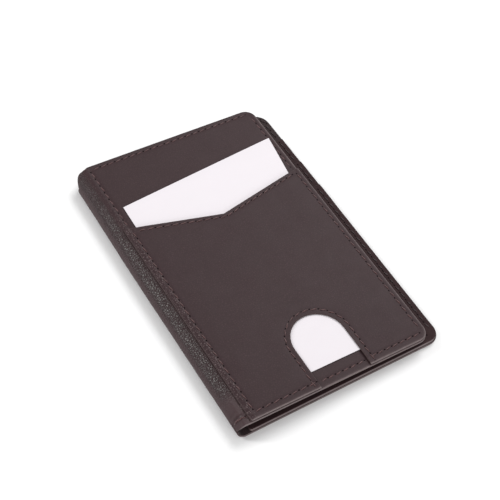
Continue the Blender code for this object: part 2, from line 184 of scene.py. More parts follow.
CHEVRON_FREE_Y = CHEVRON_TOP - CHEVRON_FREE_SIDE_DROP
NOTCH_X = FRONT_WIDTH / 2 + NOTCH_OFF_CENTRE
NOTCH_RADIUS = NOTCH_WIDTH / 2
NOTCH_ARCH_Y = NOTCH_TOP - NOTCH_RADIUS
FRONT_SLOT_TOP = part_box("back_slot_front")[1].y - FOOT_Y
BACK_FRAME = Matrix.Translation((LEFT_X, FOOT_Y, 0))
FRONT_FRAME = Matrix.Translation((LEFT_X, FOOT_Y, LEAF_Z)) @ Matrix.Rotation(TILT, 4, "Y")

# The spine's half round, which both leaves' leather runs into.
SPINE_TOP = FRONT_COVER_FLOOR + COVER
SPINE_RADIUS = (LEAF_Z + SPINE_TOP) / 2
SPINE_CENTRE_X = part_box("spine_cover")[0].x + SPINE_RADIUS - LEFT_X
UPPER_CENTRE = FRONT_FRAME @ Vector((SPINE_CENTRE_X, 0, SPINE_TOP - SPINE_RADIUS))
LOWER_RADIUS = UPPER_CENTRE.z
LOWER_CENTRE_X = UPPER_CENTRE.x - SPINE_RADIUS + LOWER_RADIUS - LEFT_X

# Camera, lights and stage.
CAMERA_TARGET = Vector((1.93, 3.84, 0)) * MM
CAMERA_DISTANCE = 415.3 * MM
CAMERA_HEADING = math.radians(38.61)
CAMERA_PITCH = math.radians(52.52)
CAMERA_ROLL = math.radians(8.98)
CAMERA_LENS = 90.2

# Mesh fineness, and lengths below which points count as one.
ARC_STEPS = 10
EDGE_STEPS = 6
MOST_EDGE_RADIUS = 0.3 * MM
INSIDE_POINT = (20 * MM, 20 * MM)
OUTSIDE_CUT = 0.45 * MM
INSIDE_CUT = 0.6 * MM
CUT_SNAP = 1e-7
NEAR = 1e-6
GRAIN_WARP = 0.5 * MM

# Where edges are lightened, by abrasion and as painted highlight, where the outer leather is pulled smooth,
# and where painted glints go on its pebble tops. A pair says where a change starts and over what distance it
# comes, up the leaf or from its side.
RIM_FLAT = 0.15 * MM
RIM_WIDTH = 0.18 * MM
PULLED_FOOT = (8 * MM, 6 * MM)
PULLED_SPINE = (3.2 * MM, 1.2 * MM)
MARGIN_SIDE = (0.9 * MM, 0.7 * MM)
MARGIN_HEAD = (78 * MM, 14 * MM)
BAND_SEAM_SIDE = (0.1 * MM, 0.6 * MM)
BAND_REACH = 2.7 * MM
BAND_FADE = 1.0 * MM
BAND_NARROWING = 0.6 * MM
BAND_NARROWS = (50 * MM, 40 * MM)
BAND_FOOT = (8 * MM, 8 * MM)
BAND_HEAD = (0.6 * LENGTH, 0.4 * LENGTH)
FOLD_Y = 3.1 * MM
FOLD_WIDTH = 0.5 * MM
# How strongly, from none at 0 to all at 1.
SPINE_PULL = 0.8
MARGIN_GLINT = 0.7
MARGIN_HEAD_LOSS = 0.75
BAND_GLINT = 0.9
BAND_HEAD_LOSS = 0.8
FOLD_GLINT = 0.5


# ---------------------------------------------------------------- small helpers


def add_object(name, data):
    """A new object of that data, linked to the scene."""
    thing = bpy.data.objects.new(name, data)
    bpy.context.scene.collection.objects.link(thing)
    return thing


def mesh_from(work, name):
    """A mesh with the bmesh's geometry; the bmesh is freed."""
    mesh = bpy.data.meshes.new(name)
    work.to_mesh(mesh)
    work.free()
    return mesh


def add_node(tree, kind, **settings):
    node = tree.nodes.new(kind)
    for name, value in settings.items():
        setattr(node, name, value)
    return node


def set_inputs(node, values):
    for name, value in values.items():
        node.inputs[name].default_value = value


def feed(tree, socket, value):
    """Gives an input its value, or links it where the value is another node's output."""
    if isinstance(value, bpy.types.NodeSocket):
        tree.links.new(value, socket)
    else:
        socket.default_value = value


def math_node(tree, operation, *values, clamp=False):
    node = add_node(tree, "ShaderNodeMath", operation=operation, use_clamp=clamp)
    for socket, value in zip(node.inputs, values):
        feed(tree, socket, value)
    return node.outputs[0]


def mix_node(tree, factor, first, second, blend="MIX"):
    """A colour mixed from two, each a colour or an output."""
    node = add_node(tree, "ShaderNodeMix", data_type="RGBA", blend_type=blend)
    feed(tree, node.inputs["Factor"], factor)
    feed(tree, node.inputs[6], first)
    feed(tree, node.inputs[7], second)
    return node.outputs[2]


def object_place(tree):
    return add_node(tree, "ShaderNodeTexCoord").outputs["Object"]


def attribute(tree, name):
    """One of the values that leather_sheet leaves on its mesh: rim, stretch or painted_glint."""
    return add_node(tree, "ShaderNodeAttribute", attribute_name=name).outputs["Fac"]


def noise_node(tree, place, scale, detail, roughness=0.5):
    node = add_node(tree, "ShaderNodeTexNoise")
    set_inputs(node, {"Detail": detail, "Roughness": roughness})
    feed(tree, node.inputs["Scale"], scale)
    tree.links.new(place, node.inputs["Vector"])
    return node


# ---------------------------------------------------------------- node groups; scales are per metre


def new_group(name, inputs, outputs):
    """A shader node group with named sockets, and its input and output nodes."""
    group = bpy.data.node_groups.new(name, "ShaderNodeTree")
    for label, (kind, default) in inputs.items():
        socket = group.interface.new_socket(label, in_out="INPUT", socket_type=kind)
        if default is not None:
            socket.default_value = default
    for label, kind in outputs.items():
        group.interface.new_socket(label, in_out="OUTPUT", socket_type=kind)
    return group, group.nodes.new("NodeGroupInput"), group.nodes.new("NodeGroupOutput")


def grain_group():
    """Leather grain: pebbles between creases, over fine pores."""
    group, start, end = new_group(
        "leather_grain",
        {
            "Pebble Scale": ("NodeSocketFloat", 1200.0),
            "Pore Scale": ("NodeSocketFloat", 4200.0),
            "Pebble Share": ("NodeSocketFloat", 0.7),
        },
        {"Height": "NodeSocketFloat", "Crease": "NodeSocketFloat"},
    )
    place = object_place(group)
    warp = noise_node(group, place, 700.0, 2.0)
    bent = add_node(group, "ShaderNodeVectorMath", operation="MULTIPLY_ADD")
    for socket, value in zip(bent.inputs, (warp.outputs["Color"], (GRAIN_WARP,) * 3, place)):
        feed(group, socket, value)
    cells = add_node(group, "ShaderNodeTexVoronoi", feature="DISTANCE_TO_EDGE")
    group.links.new(bent.outputs[0], cells.inputs["Vector"])
    group.links.new(start.outputs["Pebble Scale"], cells.inputs["Scale"])
    dome = math_node(group, "SMOOTH_MIN", cells.outputs["Distance"], 0.35)
    dome = math_node(group, "MULTIPLY", dome, 2.6, clamp=True)
    pores = noise_node(group, place, start.outputs["Pore Scale"], 3.0, 0.6)
    clumps = noise_node(group, place, 620.0, 2.0, 0.55)
    swell = math_node(group, "MULTIPLY", clumps.outputs["Fac"], 0.9)
    dome = math_node(group, "MULTIPLY", dome, math_node(group, "ADD", swell, 0.55))
    pebble = math_node(group, "MULTIPLY", dome, start.outputs["Pebble Share"])
    rest = math_node(group, "SUBTRACT", 1.0, start.outputs["Pebble Share"])
    fine = math_node(group, "MULTIPLY", pores.outputs["Fac"], rest)
    group.links.new(math_node(group, "ADD", pebble, fine), end.inputs["Height"])
    group.links.new(math_node(group, "SUBTRACT", 1.0, dome, clamp=True), end.inputs["Crease"])
    return group


def tone_group():
    """Slow variation of a dyed hide between two tones, with broad handling marks as a mask."""
    group, start, end = new_group(
        "dye_tone",
        {
            "Dark": ("NodeSocketColor", None),
            "Light": ("NodeSocketColor", None),
            "Patch Scale": ("NodeSocketFloat", 60.0),
        },
        {"Color": "NodeSocketColor", "Marks": "NodeSocketFloat"},
    )
    place = object_place(group)
    patches = noise_node(group, place, start.outputs["Patch Scale"], 4.0, 0.6)
    specks = noise_node(group, place, 1500.0, 2.0)
    both = math_node(group, "MULTIPLY_ADD", specks.outputs["Fac"], 0.35, -0.17)
    share = math_node(group, "ADD", both, patches.outputs["Fac"], clamp=True)
    tone = mix_node(group, share, start.outputs["Dark"], start.outputs["Light"])
    marks = noise_node(group, place, 160.0, 5.0, 0.65)
    group.links.new(tone, end.inputs["Color"])
    group.links.new(marks.outputs["Fac"], end.inputs["Marks"])
    return group


def edge_lightening_group():
    """An edge lightened, by abrasion and as painted highlight, from the piece's own rim attribute and noise.
    """
    group, start, end = new_group(
        "edge_wear_and_highlight",
        {
            "Amount": ("NodeSocketFloat", 0.6),
            "Colour": ("NodeSocketColor", None),
            "Worn And Lit": ("NodeSocketColor", None),
        },
        {"Color": "NodeSocketColor"},
    )
    breakup = noise_node(group, object_place(group), 420.0, 4.0)
    broken = math_node(group, "MULTIPLY", attribute(group, "rim"), breakup.outputs["Fac"])
    mask = math_node(group, "MULTIPLY", broken, start.outputs["Amount"], clamp=True)
    lightened = mix_node(group, mask, start.outputs["Colour"], start.outputs["Worn And Lit"])
    group.links.new(lightened, end.inputs["Color"])
    return group


def weave_group():
    """A plain weave of warp and weft, as a height and a mask of the gaps between threads."""
    group, start, end = new_group(
        "plain_weave",
        {"Threads": ("NodeSocketFloat", 2600.0)},
        {"Height": "NodeSocketFloat", "Gap": "NodeSocketFloat"},
    )
    scaled = add_node(group, "ShaderNodeVectorMath", operation="SCALE")
    group.links.new(object_place(group), scaled.inputs[0])
    group.links.new(start.outputs["Threads"], scaled.inputs["Scale"])
    split = add_node(group, "ShaderNodeSeparateXYZ")
    group.links.new(scaled.outputs[0], split.inputs[0])
    across = math_node(group, "SINE", math_node(group, "MULTIPLY", split.outputs["X"], math.pi))
    along = math_node(group, "SINE", math_node(group, "MULTIPLY", split.outputs["Y"], math.pi))
    height = math_node(group, "MULTIPLY", across, along)
    group.links.new(math_node(group, "MULTIPLY_ADD", height, 0.5, 0.5), end.inputs["Height"])
    lattice = math_node(group, "ABSOLUTE", height)
    group.links.new(math_node(group, "SUBTRACT", 1.0, lattice, clamp=True), end.inputs["Gap"])
    return group


GRAIN = grain_group()
TONE = tone_group()
EDGE_LIGHTENING = edge_lightening_group()
WEAVE = weave_group()


# ---------------------------------------------------------------- materials


def use_group(tree, group, values):
    node = add_node(tree, "ShaderNodeGroup", node_tree=group)
    set_inputs(node, values)
    return node


def start_material(name, constants):
    """A material with its Principled shader, whose constant values sit on its own sockets."""
    material = bpy.data.materials.new(name)
    material.use_nodes = True
    shader = material.node_tree.nodes["Principled BSDF"]
    set_inputs(shader, constants)
    return material, material.node_tree, shader


def add_bump(tree, shader, *heights):
    """Chains one Bump node for each (height, distance in metres, strength)."""
    normal = None
    for height, distance, strength in heights:
        bump = add_node(tree, "ShaderNodeBump")
        set_inputs(bump, {"Distance": distance, "Strength": strength})
        tree.links.new(height, bump.inputs["Height"])
        if normal is not None:
            tree.links.new(normal, bump.inputs["Normal"])
        normal = bump.outputs["Normal"]
    tree.links.new(normal, shader.inputs["Normal"])


def tone_node(tree, shader, dark, light, patch_scale, rough, extra=None):
    """The tone group, as the shader's colour, with its marks as a roughness between two values."""
    tone = use_group(tree, TONE, {"Dark": (*dark, 1), "Light": (*light, 1), "Patch Scale": patch_scale})
    tree.links.new(tone.outputs["Color"], shader.inputs["Base Color"])
    spread = add_node(tree, "ShaderNodeMapRange")
    set_inputs(spread, {"To Min": rough[0], "To Max": rough[1]})
    tree.links.new(tone.outputs["Marks"], spread.inputs["Value"])
    roughness = spread.outputs["Result"]
    if extra is not None:
        roughness = math_node(tree, "ADD", roughness, extra, clamp=True)
    tree.links.new(roughness, shader.inputs["Roughness"])
    return tone


def leather_material(name, dark, light, worn_and_lit, grain, bump, rough, shine, rim_amount):
    """Dyed leather.

    grain: pebble scale, pore scale, pebble share, and how far the stretch attribute pulls the grain
    flat. bump: depth and strength. The raised pebble tops turn pale, as painted glints, where the
    painted_glint attribute is up, and the creases are darkened as painted shade. worn_and_lit: the colour of
    those glints and of edges lightened by abrasion and as painted highlight.
    """
    pebble_scale, pore_scale, pebble_share, give = grain
    material, tree, shader = start_material(
        name,
        {
            "IOR": 1.45,
            "Specular IOR Level": shine,
            "Sheen Weight": 0.06,
            "Sheen Roughness": 0.5,
            "Sheen Tint": (0.8, 0.66, 0.66, 1),
        },
    )
    stretch = attribute(tree, "stretch")
    duller = math_node(tree, "MULTIPLY", stretch, 0.3 * give)
    tone = tone_node(tree, shader, dark, light, 45.0, rough, duller)
    surface = use_group(
        tree, GRAIN, {"Pebble Scale": pebble_scale, "Pore Scale": pore_scale, "Pebble Share": pebble_share}
    )
    # Painted highlight: where painted_glint is up, the pebble tops are mixed toward the worn_and_lit colour
    # as painted glints.
    tops = add_node(tree, "ShaderNodeMapRange")
    set_inputs(tops, {"From Min": 0.75, "From Max": 0.25})
    tree.links.new(surface.outputs["Crease"], tops.inputs["Value"])
    on_tops = math_node(tree, "MULTIPLY", attribute(tree, "painted_glint"), tops.outputs["Result"], clamp=True)
    lightened = mix_node(tree, on_tops, tone.outputs["Color"], (*worn_and_lit, 1))
    loose = math_node(tree, "SUBTRACT", 1.0, math_node(tree, "MULTIPLY", stretch, give))
    # Painted shade: the grain's creases are darkened, less where stretch pulls the grain flat.
    crease = math_node(tree, "MULTIPLY", surface.outputs["Crease"], loose)
    crease = math_node(tree, "MULTIPLY", crease, 0.55)
    shade = mix_node(tree, crease, lightened, (0.35, 0.28, 0.28, 1), "MULTIPLY")
    # Edges lightened toward worn_and_lit, by abrasion and as painted highlight, where the rim attribute is
    # up.
    edge = use_group(tree, EDGE_LIGHTENING, {"Amount": rim_amount, "Worn And Lit": (*worn_and_lit, 1)})
    tree.links.new(shade, edge.inputs["Colour"])
    tree.links.new(edge.outputs["Color"], shader.inputs["Base Color"])
    height = math_node(tree, "MULTIPLY", surface.outputs["Height"], loose)
    add_bump(tree, shader, (height, *bump), (tone.outputs["Marks"], 0.2 * MM, 0.08))
    return material


def edge_paint_material(name, dark, light, coat):
    """Burnished, painted edge, lighter where the piece's own rim attribute is up, and darker and duller
    elsewhere, the darkening being painted shade.
    """
    material, tree, shader = start_material(
        name, {"Specular IOR Level": 0.3, "Coat Weight": coat, "Coat Roughness": 0.4}
    )
    # Away from the rim attribute's edges, the edge colour is darkened as painted shade, and made rougher.
    lightened = math_node(tree, "MULTIPLY", attribute(tree, "rim"), 1.6, clamp=True)
    away_from_rim = math_node(tree, "SUBTRACT", 1.0, lightened)
    duller = math_node(tree, "MULTIPLY", away_from_rim, 0.3)
    tone = tone_node(tree, shader, dark, light, 500.0, (0.34, 0.6), duller)
    shade = mix_node(tree, away_from_rim, tone.outputs["Color"], (0.33, 0.25, 0.25, 1), "MULTIPLY")
    tree.links.new(shade, shader.inputs["Base Color"])
    add_bump(tree, shader, (tone.outputs["Marks"], 0.15 * MM, 0.35))
    return material


def cloth_material():
    material, tree, shader = start_material(
        "lining_cloth", {"Specular IOR Level": 0.25, "Sheen Weight": 0.15, "Sheen Roughness": 0.4}
    )
    tone = tone_node(tree, shader, (0.030, 0.016, 0.017), (0.052, 0.032, 0.033), 60.0, (0.7, 0.9))
    weave = use_group(tree, WEAVE, {})
    # Painted shade: the gaps between threads are darkened.
    gap = math_node(tree, "MULTIPLY", weave.outputs["Gap"], 0.7)
    shade = mix_node(tree, gap, tone.outputs["Color"], (0.3, 0.28, 0.28, 1), "MULTIPLY")
    tree.links.new(shade, shader.inputs["Base Color"])
    add_bump(tree, shader, (weave.outputs["Height"], 0.08 * MM, 0.7))
    return material


def thread_material(name, dark, light):
    """Waxed thread: colour changes along its length, with a slight gloss on the twist."""
    material, tree, shader = start_material(
        name, {"Specular IOR Level": 0.5, "Sheen Weight": 0.15, "Sheen Roughness": 0.35}
    )
    tone_node(tree, shader, dark, light, 420.0, (0.32, 0.6))
    fibre = noise_node(tree, object_place(tree), 9000.0, 2.0)
    add_bump(tree, shader, (fibre.outputs["Fac"], 0.05 * MM, 0.5))
    return material


def plain_material(name, constants, dark, light, patch_scale, rough, bump=None):
    """A material of one tone. bump: the depth and strength of its marks."""
    material, tree, shader = start_material(name, constants)
    tone = tone_node(tree, shader, dark, light, patch_scale, rough)
    if bump:
        add_bump(tree, shader, (tone.outputs["Marks"], *bump))
    return material


SMOOTH = leather_material(
    "smooth_leather",
    dark=(0.0385, 0.019, 0.0215),
    light=(0.0455, 0.0235, 0.0265),
    # Pale pebble tops beside the spine seam, as painted glints, and edges lightened by abrasion and as
    # painted highlight.
    worn_and_lit=(0.15, 0.115, 0.115),
    grain=(1500.0, 5200.0, 0.5, 0.0),
    bump=(0.04 * MM, 0.2),
    rough=(0.50, 0.62),
    shine=0.22,
    rim_amount=1.5,
)
GRAINED = leather_material(
    "grained_leather",
    dark=(0.036, 0.0165, 0.0185),
    light=(0.052, 0.027, 0.030),
    # The grey-green of painted glints on the spine's lit band, and of its edges, lightened by abrasion and as
    # painted highlight.
    worn_and_lit=(0.19, 0.185, 0.177),
    grain=(1450.0, 4200.0, 0.8, 0.9),
    bump=(0.5 * MM, 1.0),
    rough=(0.30, 0.42),
    shine=0.42,
    rim_amount=0.35,
)
INNER = leather_material(
    "inner_leather",
    dark=(0.037, 0.018, 0.019),
    light=(0.048, 0.026, 0.0275),
    # Edges lightened by abrasion and as painted highlight.
    worn_and_lit=(0.07, 0.045, 0.045),
    grain=(1700.0, 5200.0, 0.5, 0.0),
    bump=(0.05 * MM, 0.35),
    rough=(0.60, 0.75),
    shine=0.12,
    rim_amount=0.6,
)
EDGE_PAINT = edge_paint_material("edge_paint", (0.085, 0.060, 0.061), (0.19, 0.15, 0.15), 0.12)
SLOT_EDGE = edge_paint_material("slot_edge", (0.08, 0.057, 0.058), (0.17, 0.13, 0.13), 0.1)
# Near black: painted shade on the inside edges of the closed leaf.
SHADED_INNER_EDGE = edge_paint_material("inner_edge_painted_shade", (0.016, 0.008, 0.008), (0.032, 0.018, 0.018), 0.1)
CLOTH = cloth_material()
THREAD = thread_material("waxed_thread", (0.028, 0.009, 0.010), (0.125, 0.052, 0.052))
# A darker copy of the waxed thread for the insides, as painted shade.
SHADED_INNER_THREAD = thread_material("inner_thread_painted_shade", (0.014, 0.006, 0.006), (0.045, 0.022, 0.023))
# Near black: painted shade inside the needle holes.
HOLE = plain_material(
    "needle_hole", {"Specular IOR Level": 0.1},
    dark=(0.003, 0.001, 0.001), light=(0.010, 0.004, 0.005), patch_scale=900.0, rough=(0.8, 0.95),
)
WHITE_CARD = plain_material(
    "white_card", {"Specular IOR Level": 0.3},
    dark=(0.715, 0.675, 0.705), light=(0.735, 0.695, 0.725), patch_scale=150.0, rough=(0.55, 0.7),
    bump=(0.05 * MM, 0.15),
)
CLEAR_FILM = plain_material(
    "clear_film", {"Transmission Weight": 1.0, "IOR": 1.45, "Alpha": 0.35},
    dark=(0.78, 0.80, 0.82), light=(0.88, 0.89, 0.90), patch_scale=40.0, rough=(0.05, 0.22),
    bump=(0.3 * MM, 0.2),
)


# ---------------------------------------------------------------- outlines and relief


def rounded_outline(corners):
    """The points of a closed outline from corners given as (x, y, radius)."""
    points = []
    for index, (x, y, radius) in enumerate(corners):
        corner = Vector((x, y))
        if radius == 0:
            points.append(corner)
            continue
        back = (Vector(corners[index - 1][:2]) - corner).normalized()
        ahead = (Vector(corners[(index + 1) % len(corners)][:2]) - corner).normalized()
        half_angle = back.angle(ahead) / 2
        centre = corner + (back + ahead).normalized() * radius / math.sin(half_angle)
        start = corner + back * radius / math.tan(half_angle) - centre
        end = corner + ahead * radius / math.tan(half_angle) - centre
        turn = math.atan2(start.cross(end), start.dot(end))
        for step in range(ARC_STEPS + 1):
            spoke = start.copy()
            spoke.rotate(Matrix.Rotation(turn * step / ARC_STEPS, 2))
            if not points or (centre + spoke - points[-1]).length > LAYER_GAP:
                points.append(centre + spoke)
    return points


def inset(points, distance):
    """A closed anticlockwise outline, moved inwards by the distance."""
    moved = []
    for index, point in enumerate(points):
        before = (point - points[index - 1]).normalized()
        after = (points[(index + 1) % len(points)] - point).normalized()
        first, second = Vector((-before.y, before.x)), Vector((-after.y, after.x))
        halfway = (first + second).normalized()
        moved.append(point + halfway * distance / max(halfway.dot(first), 0.4))
    return moved


def rectangle(left, foot, right, top, radius=0.0):
    return [(left, foot, radius), (right, foot, radius), (right, top, radius), (left, top, radius)]


def steps(zones):
    """Cut positions from zones given as (start, end, spacing)."""
    cuts = []
    for start, end, spacing in zones:
        count = max(1, round((end - start) / spacing))
        cuts += [start + (end - start) * step / count for step in range(count)]
    return cuts[1:]


def edge_cuts(start, end, margins, fine, coarse):
    """Cut positions that are close together within a margin of each end."""
    first, last = margins
    return steps([(start, start + first, fine), (start + first, end - last, coarse), (end - last, end, fine)])


def frame_cuts(start, end, hole_start, hole_end):
    """Cut positions across a frame, close together at both sides of its hole."""
    beside = 4 * MM
    return steps(
        [
            (start, hole_start - beside, 3 * MM),
            (hole_start - beside, hole_start + MM, INSIDE_CUT),
            (hole_start + MM, hole_end - MM, 4 * MM),
            (hole_end - MM, hole_end + beside, INSIDE_CUT),
            (hole_end + beside, end, 3 * MM),
        ]
    )


def distance_to_path(places, path):
    """Distance from each place to a polyline, both in the plane of the leaf."""
    nearest = np.full(len(places), 1.0)
    for a, b in zip(path[:-1], path[1:]):
        run = b - a
        share = np.clip(((places - a) @ run) / max(run @ run, 1e-18), 0, 1)
        nearest = np.minimum(nearest, np.linalg.norm(places - a - share[:, None] * run, axis=1))
    return nearest


def mouth_height(x):
    """The pocket's chevron mouth above its foot, at a distance x from the spine side."""
    return np.interp(x, [0, CHEVRON_X, FRONT_WIDTH], [CHEVRON_TOP, CHEVRON_Y, CHEVRON_FREE_Y])


def rise(value, start, width):
    """Goes smoothly from 0 where the value is start to 1 where it is start + width."""
    share = np.clip((value - start) / width, 0, 1)
    return share * share * (3 - 2 * share)


def slack(places, size, depth, seed):
    """Gentle unevenness of hand-worked leather, depth either side of flat."""
    return np.array([noise.noise(Vector((x / size, y / size, seed))) * depth for x, y in places])


# ---------------------------------------------------------------- sheets


def cut_through(work, place, normal, **options):
    everything = [*work.verts, *work.edges, *work.faces]
    bmesh.ops.bisect_plane(
        work, geom=everything, dist=CUT_SNAP, plane_co=place, plane_no=normal, **options
    )


def flat_sheet(outlines, radius, cuts, joins_at):
    """A flat bmesh between the first outline and the others, cut on a grid and ended at joins_at."""
    work = bmesh.new()
    edges = []
    for number, corners in enumerate(outlines):
        points = inset(rounded_outline(corners), radius if number == 0 else -radius)
        verts = [work.verts.new(point.to_3d()) for point in points]
        edges += [work.edges.new((verts[index - 1], verts[index])) for index in range(len(verts))]
    bmesh.ops.triangle_fill(work, edges=edges, use_beauty=True, use_dissolve=True)
    for normal, positions in zip((Vector((1, 0, 0)), Vector((0, 1, 0))), cuts):
        for position in positions:
            cut_through(work, normal * position, normal)
    if joins_at is not None:
        cut_through(work, (joins_at, 0, 0), (1, 0, 0), clear_inner=True)
    bmesh.ops.remove_doubles(work, verts=work.verts, dist=NEAR)
    for face in work.faces:
        if face.normal.z < 0:
            face.normal_flip()
    return work


def boundary_loops(work):
    """The open edges of a flat sheet as loops of vertices."""
    ahead = {}
    for edge in work.edges:
        if edge.is_boundary:
            loop = edge.link_loops[0]
            ahead[loop.vert] = loop.link_loop_next.vert
    loops = []
    while ahead:
        first, current = ahead.popitem()
        loop = [first]
        while current != first:
            loop.append(current)
            current = ahead.pop(current)
        loops.append(loop)
    return loops


def outward(loop, square):
    """Each vertex's outward direction in the plane, for a loop that keeps its sheet on the left.

    A vertex of the square edge has none, but for the edge's two ends, which move along it.
    """
    ways = []
    for index, vert in enumerate(loop):
        sides = (index - 1, (index + 1) % len(loop))
        if square[index]:
            way = Vector((0, 0))
            for side in sides:
                if not square[side]:
                    run = loop[side].co - vert.co
                    way = Vector((0, math.copysign(run.length / abs(run.x), vert.co.y - LENGTH / 2)))
        else:
            back = (vert.co - loop[sides[0]].co).to_2d().normalized()
            ahead = (loop[sides[1]].co - vert.co).to_2d().normalized()
            way = (Vector((back.y, -back.x)) + Vector((ahead.y, -ahead.x))).normalized()
        ways.append(way)
    return ways


def round_edge(work, loop, under, flat, radius, square):
    """Closes the gap between the top and the underside along one loop, with a half round."""
    ways = outward(loop, square)
    rings = [loop]
    for step in range(1, EDGE_STEPS):
        angle = math.pi * step / EDGE_STEPS
        reach = radius * math.sin(angle)
        ring = []
        for vert, way in zip(loop, ways):
            x, y = vert.co.x + way.x * reach, vert.co.y + way.y * reach
            fresh = work.verts.new((x, y, 0))
            flat[fresh] = (x, y, (1 - math.cos(angle)) / 2)
            ring.append(fresh)
        rings.append(ring)
    rings.append([under[vert] for vert in loop])
    for upper, lower in zip(rings[:-1], rings[1:]):
        for index in range(len(loop)):
            side = work.faces.new((upper[index - 1], lower[index - 1], lower[index], upper[index]))
            side.material_index = 1
            if square[index] and square[index - 1]:
                for edge in side.edges:
                    edge.smooth = False


def close_sheet(work, radius, joins_at):
    """Gives a flat sheet its underside and edges, and returns where each vertex belongs.

    That is (x, y, how far down through the thickness it is, from 0 to 1).
    """
    top_faces = list(work.faces)
    loops = boundary_loops(work)
    flat, under = {}, {}
    for vert in list(work.verts):
        under[vert] = work.verts.new(vert.co)
        flat[vert] = (vert.co.x, vert.co.y, 0.0)
        flat[under[vert]] = (vert.co.x, vert.co.y, 1.0)
    for face in top_faces:
        work.faces.new([under[vert] for vert in reversed(face.verts)])
    for loop in loops:
        square = [joins_at is not None and vert.co.x <= joins_at + NEAR for vert in loop]
        round_edge(work, loop, under, flat, radius, square)
    return np.array([flat[vert] for vert in work.verts])


def distance_to_outlines(places, outlines, joins_at):
    """Distance from each place to the outlines, leaving out an edge where other leather carries on."""
    paths = [rounded_outline(corners) for corners in outlines]
    paths = [np.array([point for point in path + path[:1]]) for path in paths]
    if joins_at is not None:
        paths = [path[path[:, 0] > joins_at + 0.1 * MM] for path in paths]
    return np.min([distance_to_path(places, path) for path in paths], axis=0)


def mark_wear_and_light(mesh, places, to_edge):
    """Leaves the values rim, stretch and painted_glint on the mesh, which the materials read: rim lightens
    edges by abrasion and as painted highlight, and painted_glint puts painted glints on pebble tops.

    Only the outer leather has places past the leaf's side, round the spine.
    """
    x, y = places[:, 0], places[:, 1]
    stretch = np.maximum(1 - rise(y, *PULLED_FOOT), SPINE_PULL * rise(-x, *PULLED_SPINE))
    margin = 1 - rise(np.abs(x - SPINE_SEAM / 2), *MARGIN_SIDE)
    # Painted glints: a pale strip beside the spine seam, the lit band on the spine's shoulder, and the crease
    # across its foot.
    margin *= MARGIN_GLINT * (1 - MARGIN_HEAD_LOSS * rise(y, *MARGIN_HEAD))
    reach = BAND_REACH - BAND_NARROWING * rise(y, *BAND_NARROWS)
    band = rise(-x, *BAND_SEAM_SIDE) * (1 - rise(-x, reach, BAND_FADE))
    band *= BAND_GLINT * rise(y, *BAND_FOOT) * (1 - BAND_HEAD_LOSS * rise(y, *BAND_HEAD))
    fold = FOLD_GLINT * np.exp(-(((y - FOLD_Y) / FOLD_WIDTH) ** 2)) * rise(-x, 0, 1 * MM)
    values = {
        "rim": np.exp(-np.maximum(to_edge - RIM_FLAT, 0) / RIM_WIDTH),
        "stretch": stretch,
        "painted_glint": np.maximum.reduce([margin, band, fold]),
    }
    for name, value in values.items():
        mesh.attributes.new(name, "FLOAT", "POINT").data.foreach_set("value", value.astype(np.float32))


def leather_sheet(name, outlines, thickness, cuts, relief, place, materials, joins_at=None, worn_and_lit=None):
    """A sheet with rounded edges, cut on a grid so that it can take relief and bend.

    outlines: closed anticlockwise outlines, of which all after the first are holes. thickness: a
    length, or a function of places. cuts: (X cuts, Y cuts). relief(places): height of the top face
    over its flat level. place(x, y, z): where a point goes. materials: the face's and the edge's.
    joins_at: the X of an edge that stays square, because other leather carries on from it. worn_and_lit:
    the path whose edge is lightened, by abrasion and as painted highlight, if that isn't all of the outline.
    """
    thick = thickness if callable(thickness) else lambda places: np.full(len(places), thickness)
    radius = min(float(thick(np.array([INSIDE_POINT]))[0]) / 2, MOST_EDGE_RADIUS)
    work = flat_sheet(outlines, radius, cuts, joins_at)
    spots = close_sheet(work, radius, joins_at)
    places, depths = spots[:, :2], spots[:, 2]
    heights = relief(places) - depths * thick(places)
    for vert, (x, y), height in zip(work.verts, places, heights):
        vert.co = place(x, y, height)
    bmesh.ops.recalc_face_normals(work, faces=work.faces)
    mesh = mesh_from(work, name)
    if worn_and_lit is None:
        to_edge = distance_to_outlines(places, outlines, joins_at)
    else:
        to_edge = distance_to_path(places, worn_and_lit)
    mark_wear_and_light(mesh, places, to_edge)
    mesh.shade_smooth()
    for material in materials:
        mesh.materials.append(material)
    return add_object(name, mesh)


def flat_place(matrix, level):
    """Puts a sheet whose flat top face is at that level in the given frame."""
    return lambda x, y, z: matrix @ Vector((x, y, level + z))


def no_relief(places):
    return np.zeros(len(places))


def grooves(places, paths):
    """The dip that a tight seam pulls into leather along its paths."""
    depth = np.zeros(len(places))
    for path in paths:
        near = distance_to_path(places, path)
        depth = np.maximum(depth, GROOVE_DEPTH * np.exp(-((near / GROOVE_WIDTH) ** 2)))
    return -depth


# ---------------------------------------------------------------- seams


def line(*points):
    return np.array(points)


def corner_arc(centre_x, centre_y, radius, start, end, count=8):
    angles = np.radians(np.linspace(start, end, count))
    return [(centre_x + radius * math.cos(a), centre_y + radius * math.sin(a)) for a in angles]


FRONT_RIGHT_SEAM = FRONT_WIDTH - SEAM
FRONT_TOP_SEAM = LENGTH - SEAM
SEAM_CORNER = FRONT_CORNER - SEAM
NOTCH_LEFT = NOTCH_X - NOTCH_RADIUS
NOTCH_RIGHT = NOTCH_X + NOTCH_RADIUS
NOTCH_SEAM_RADIUS = NOTCH_RADIUS + NOTCH_SEAM


def free_corner(centre_y, start, end):
    return corner_arc(FRONT_RIGHT_SEAM - SEAM_CORNER, centre_y, SEAM_CORNER, start, end)


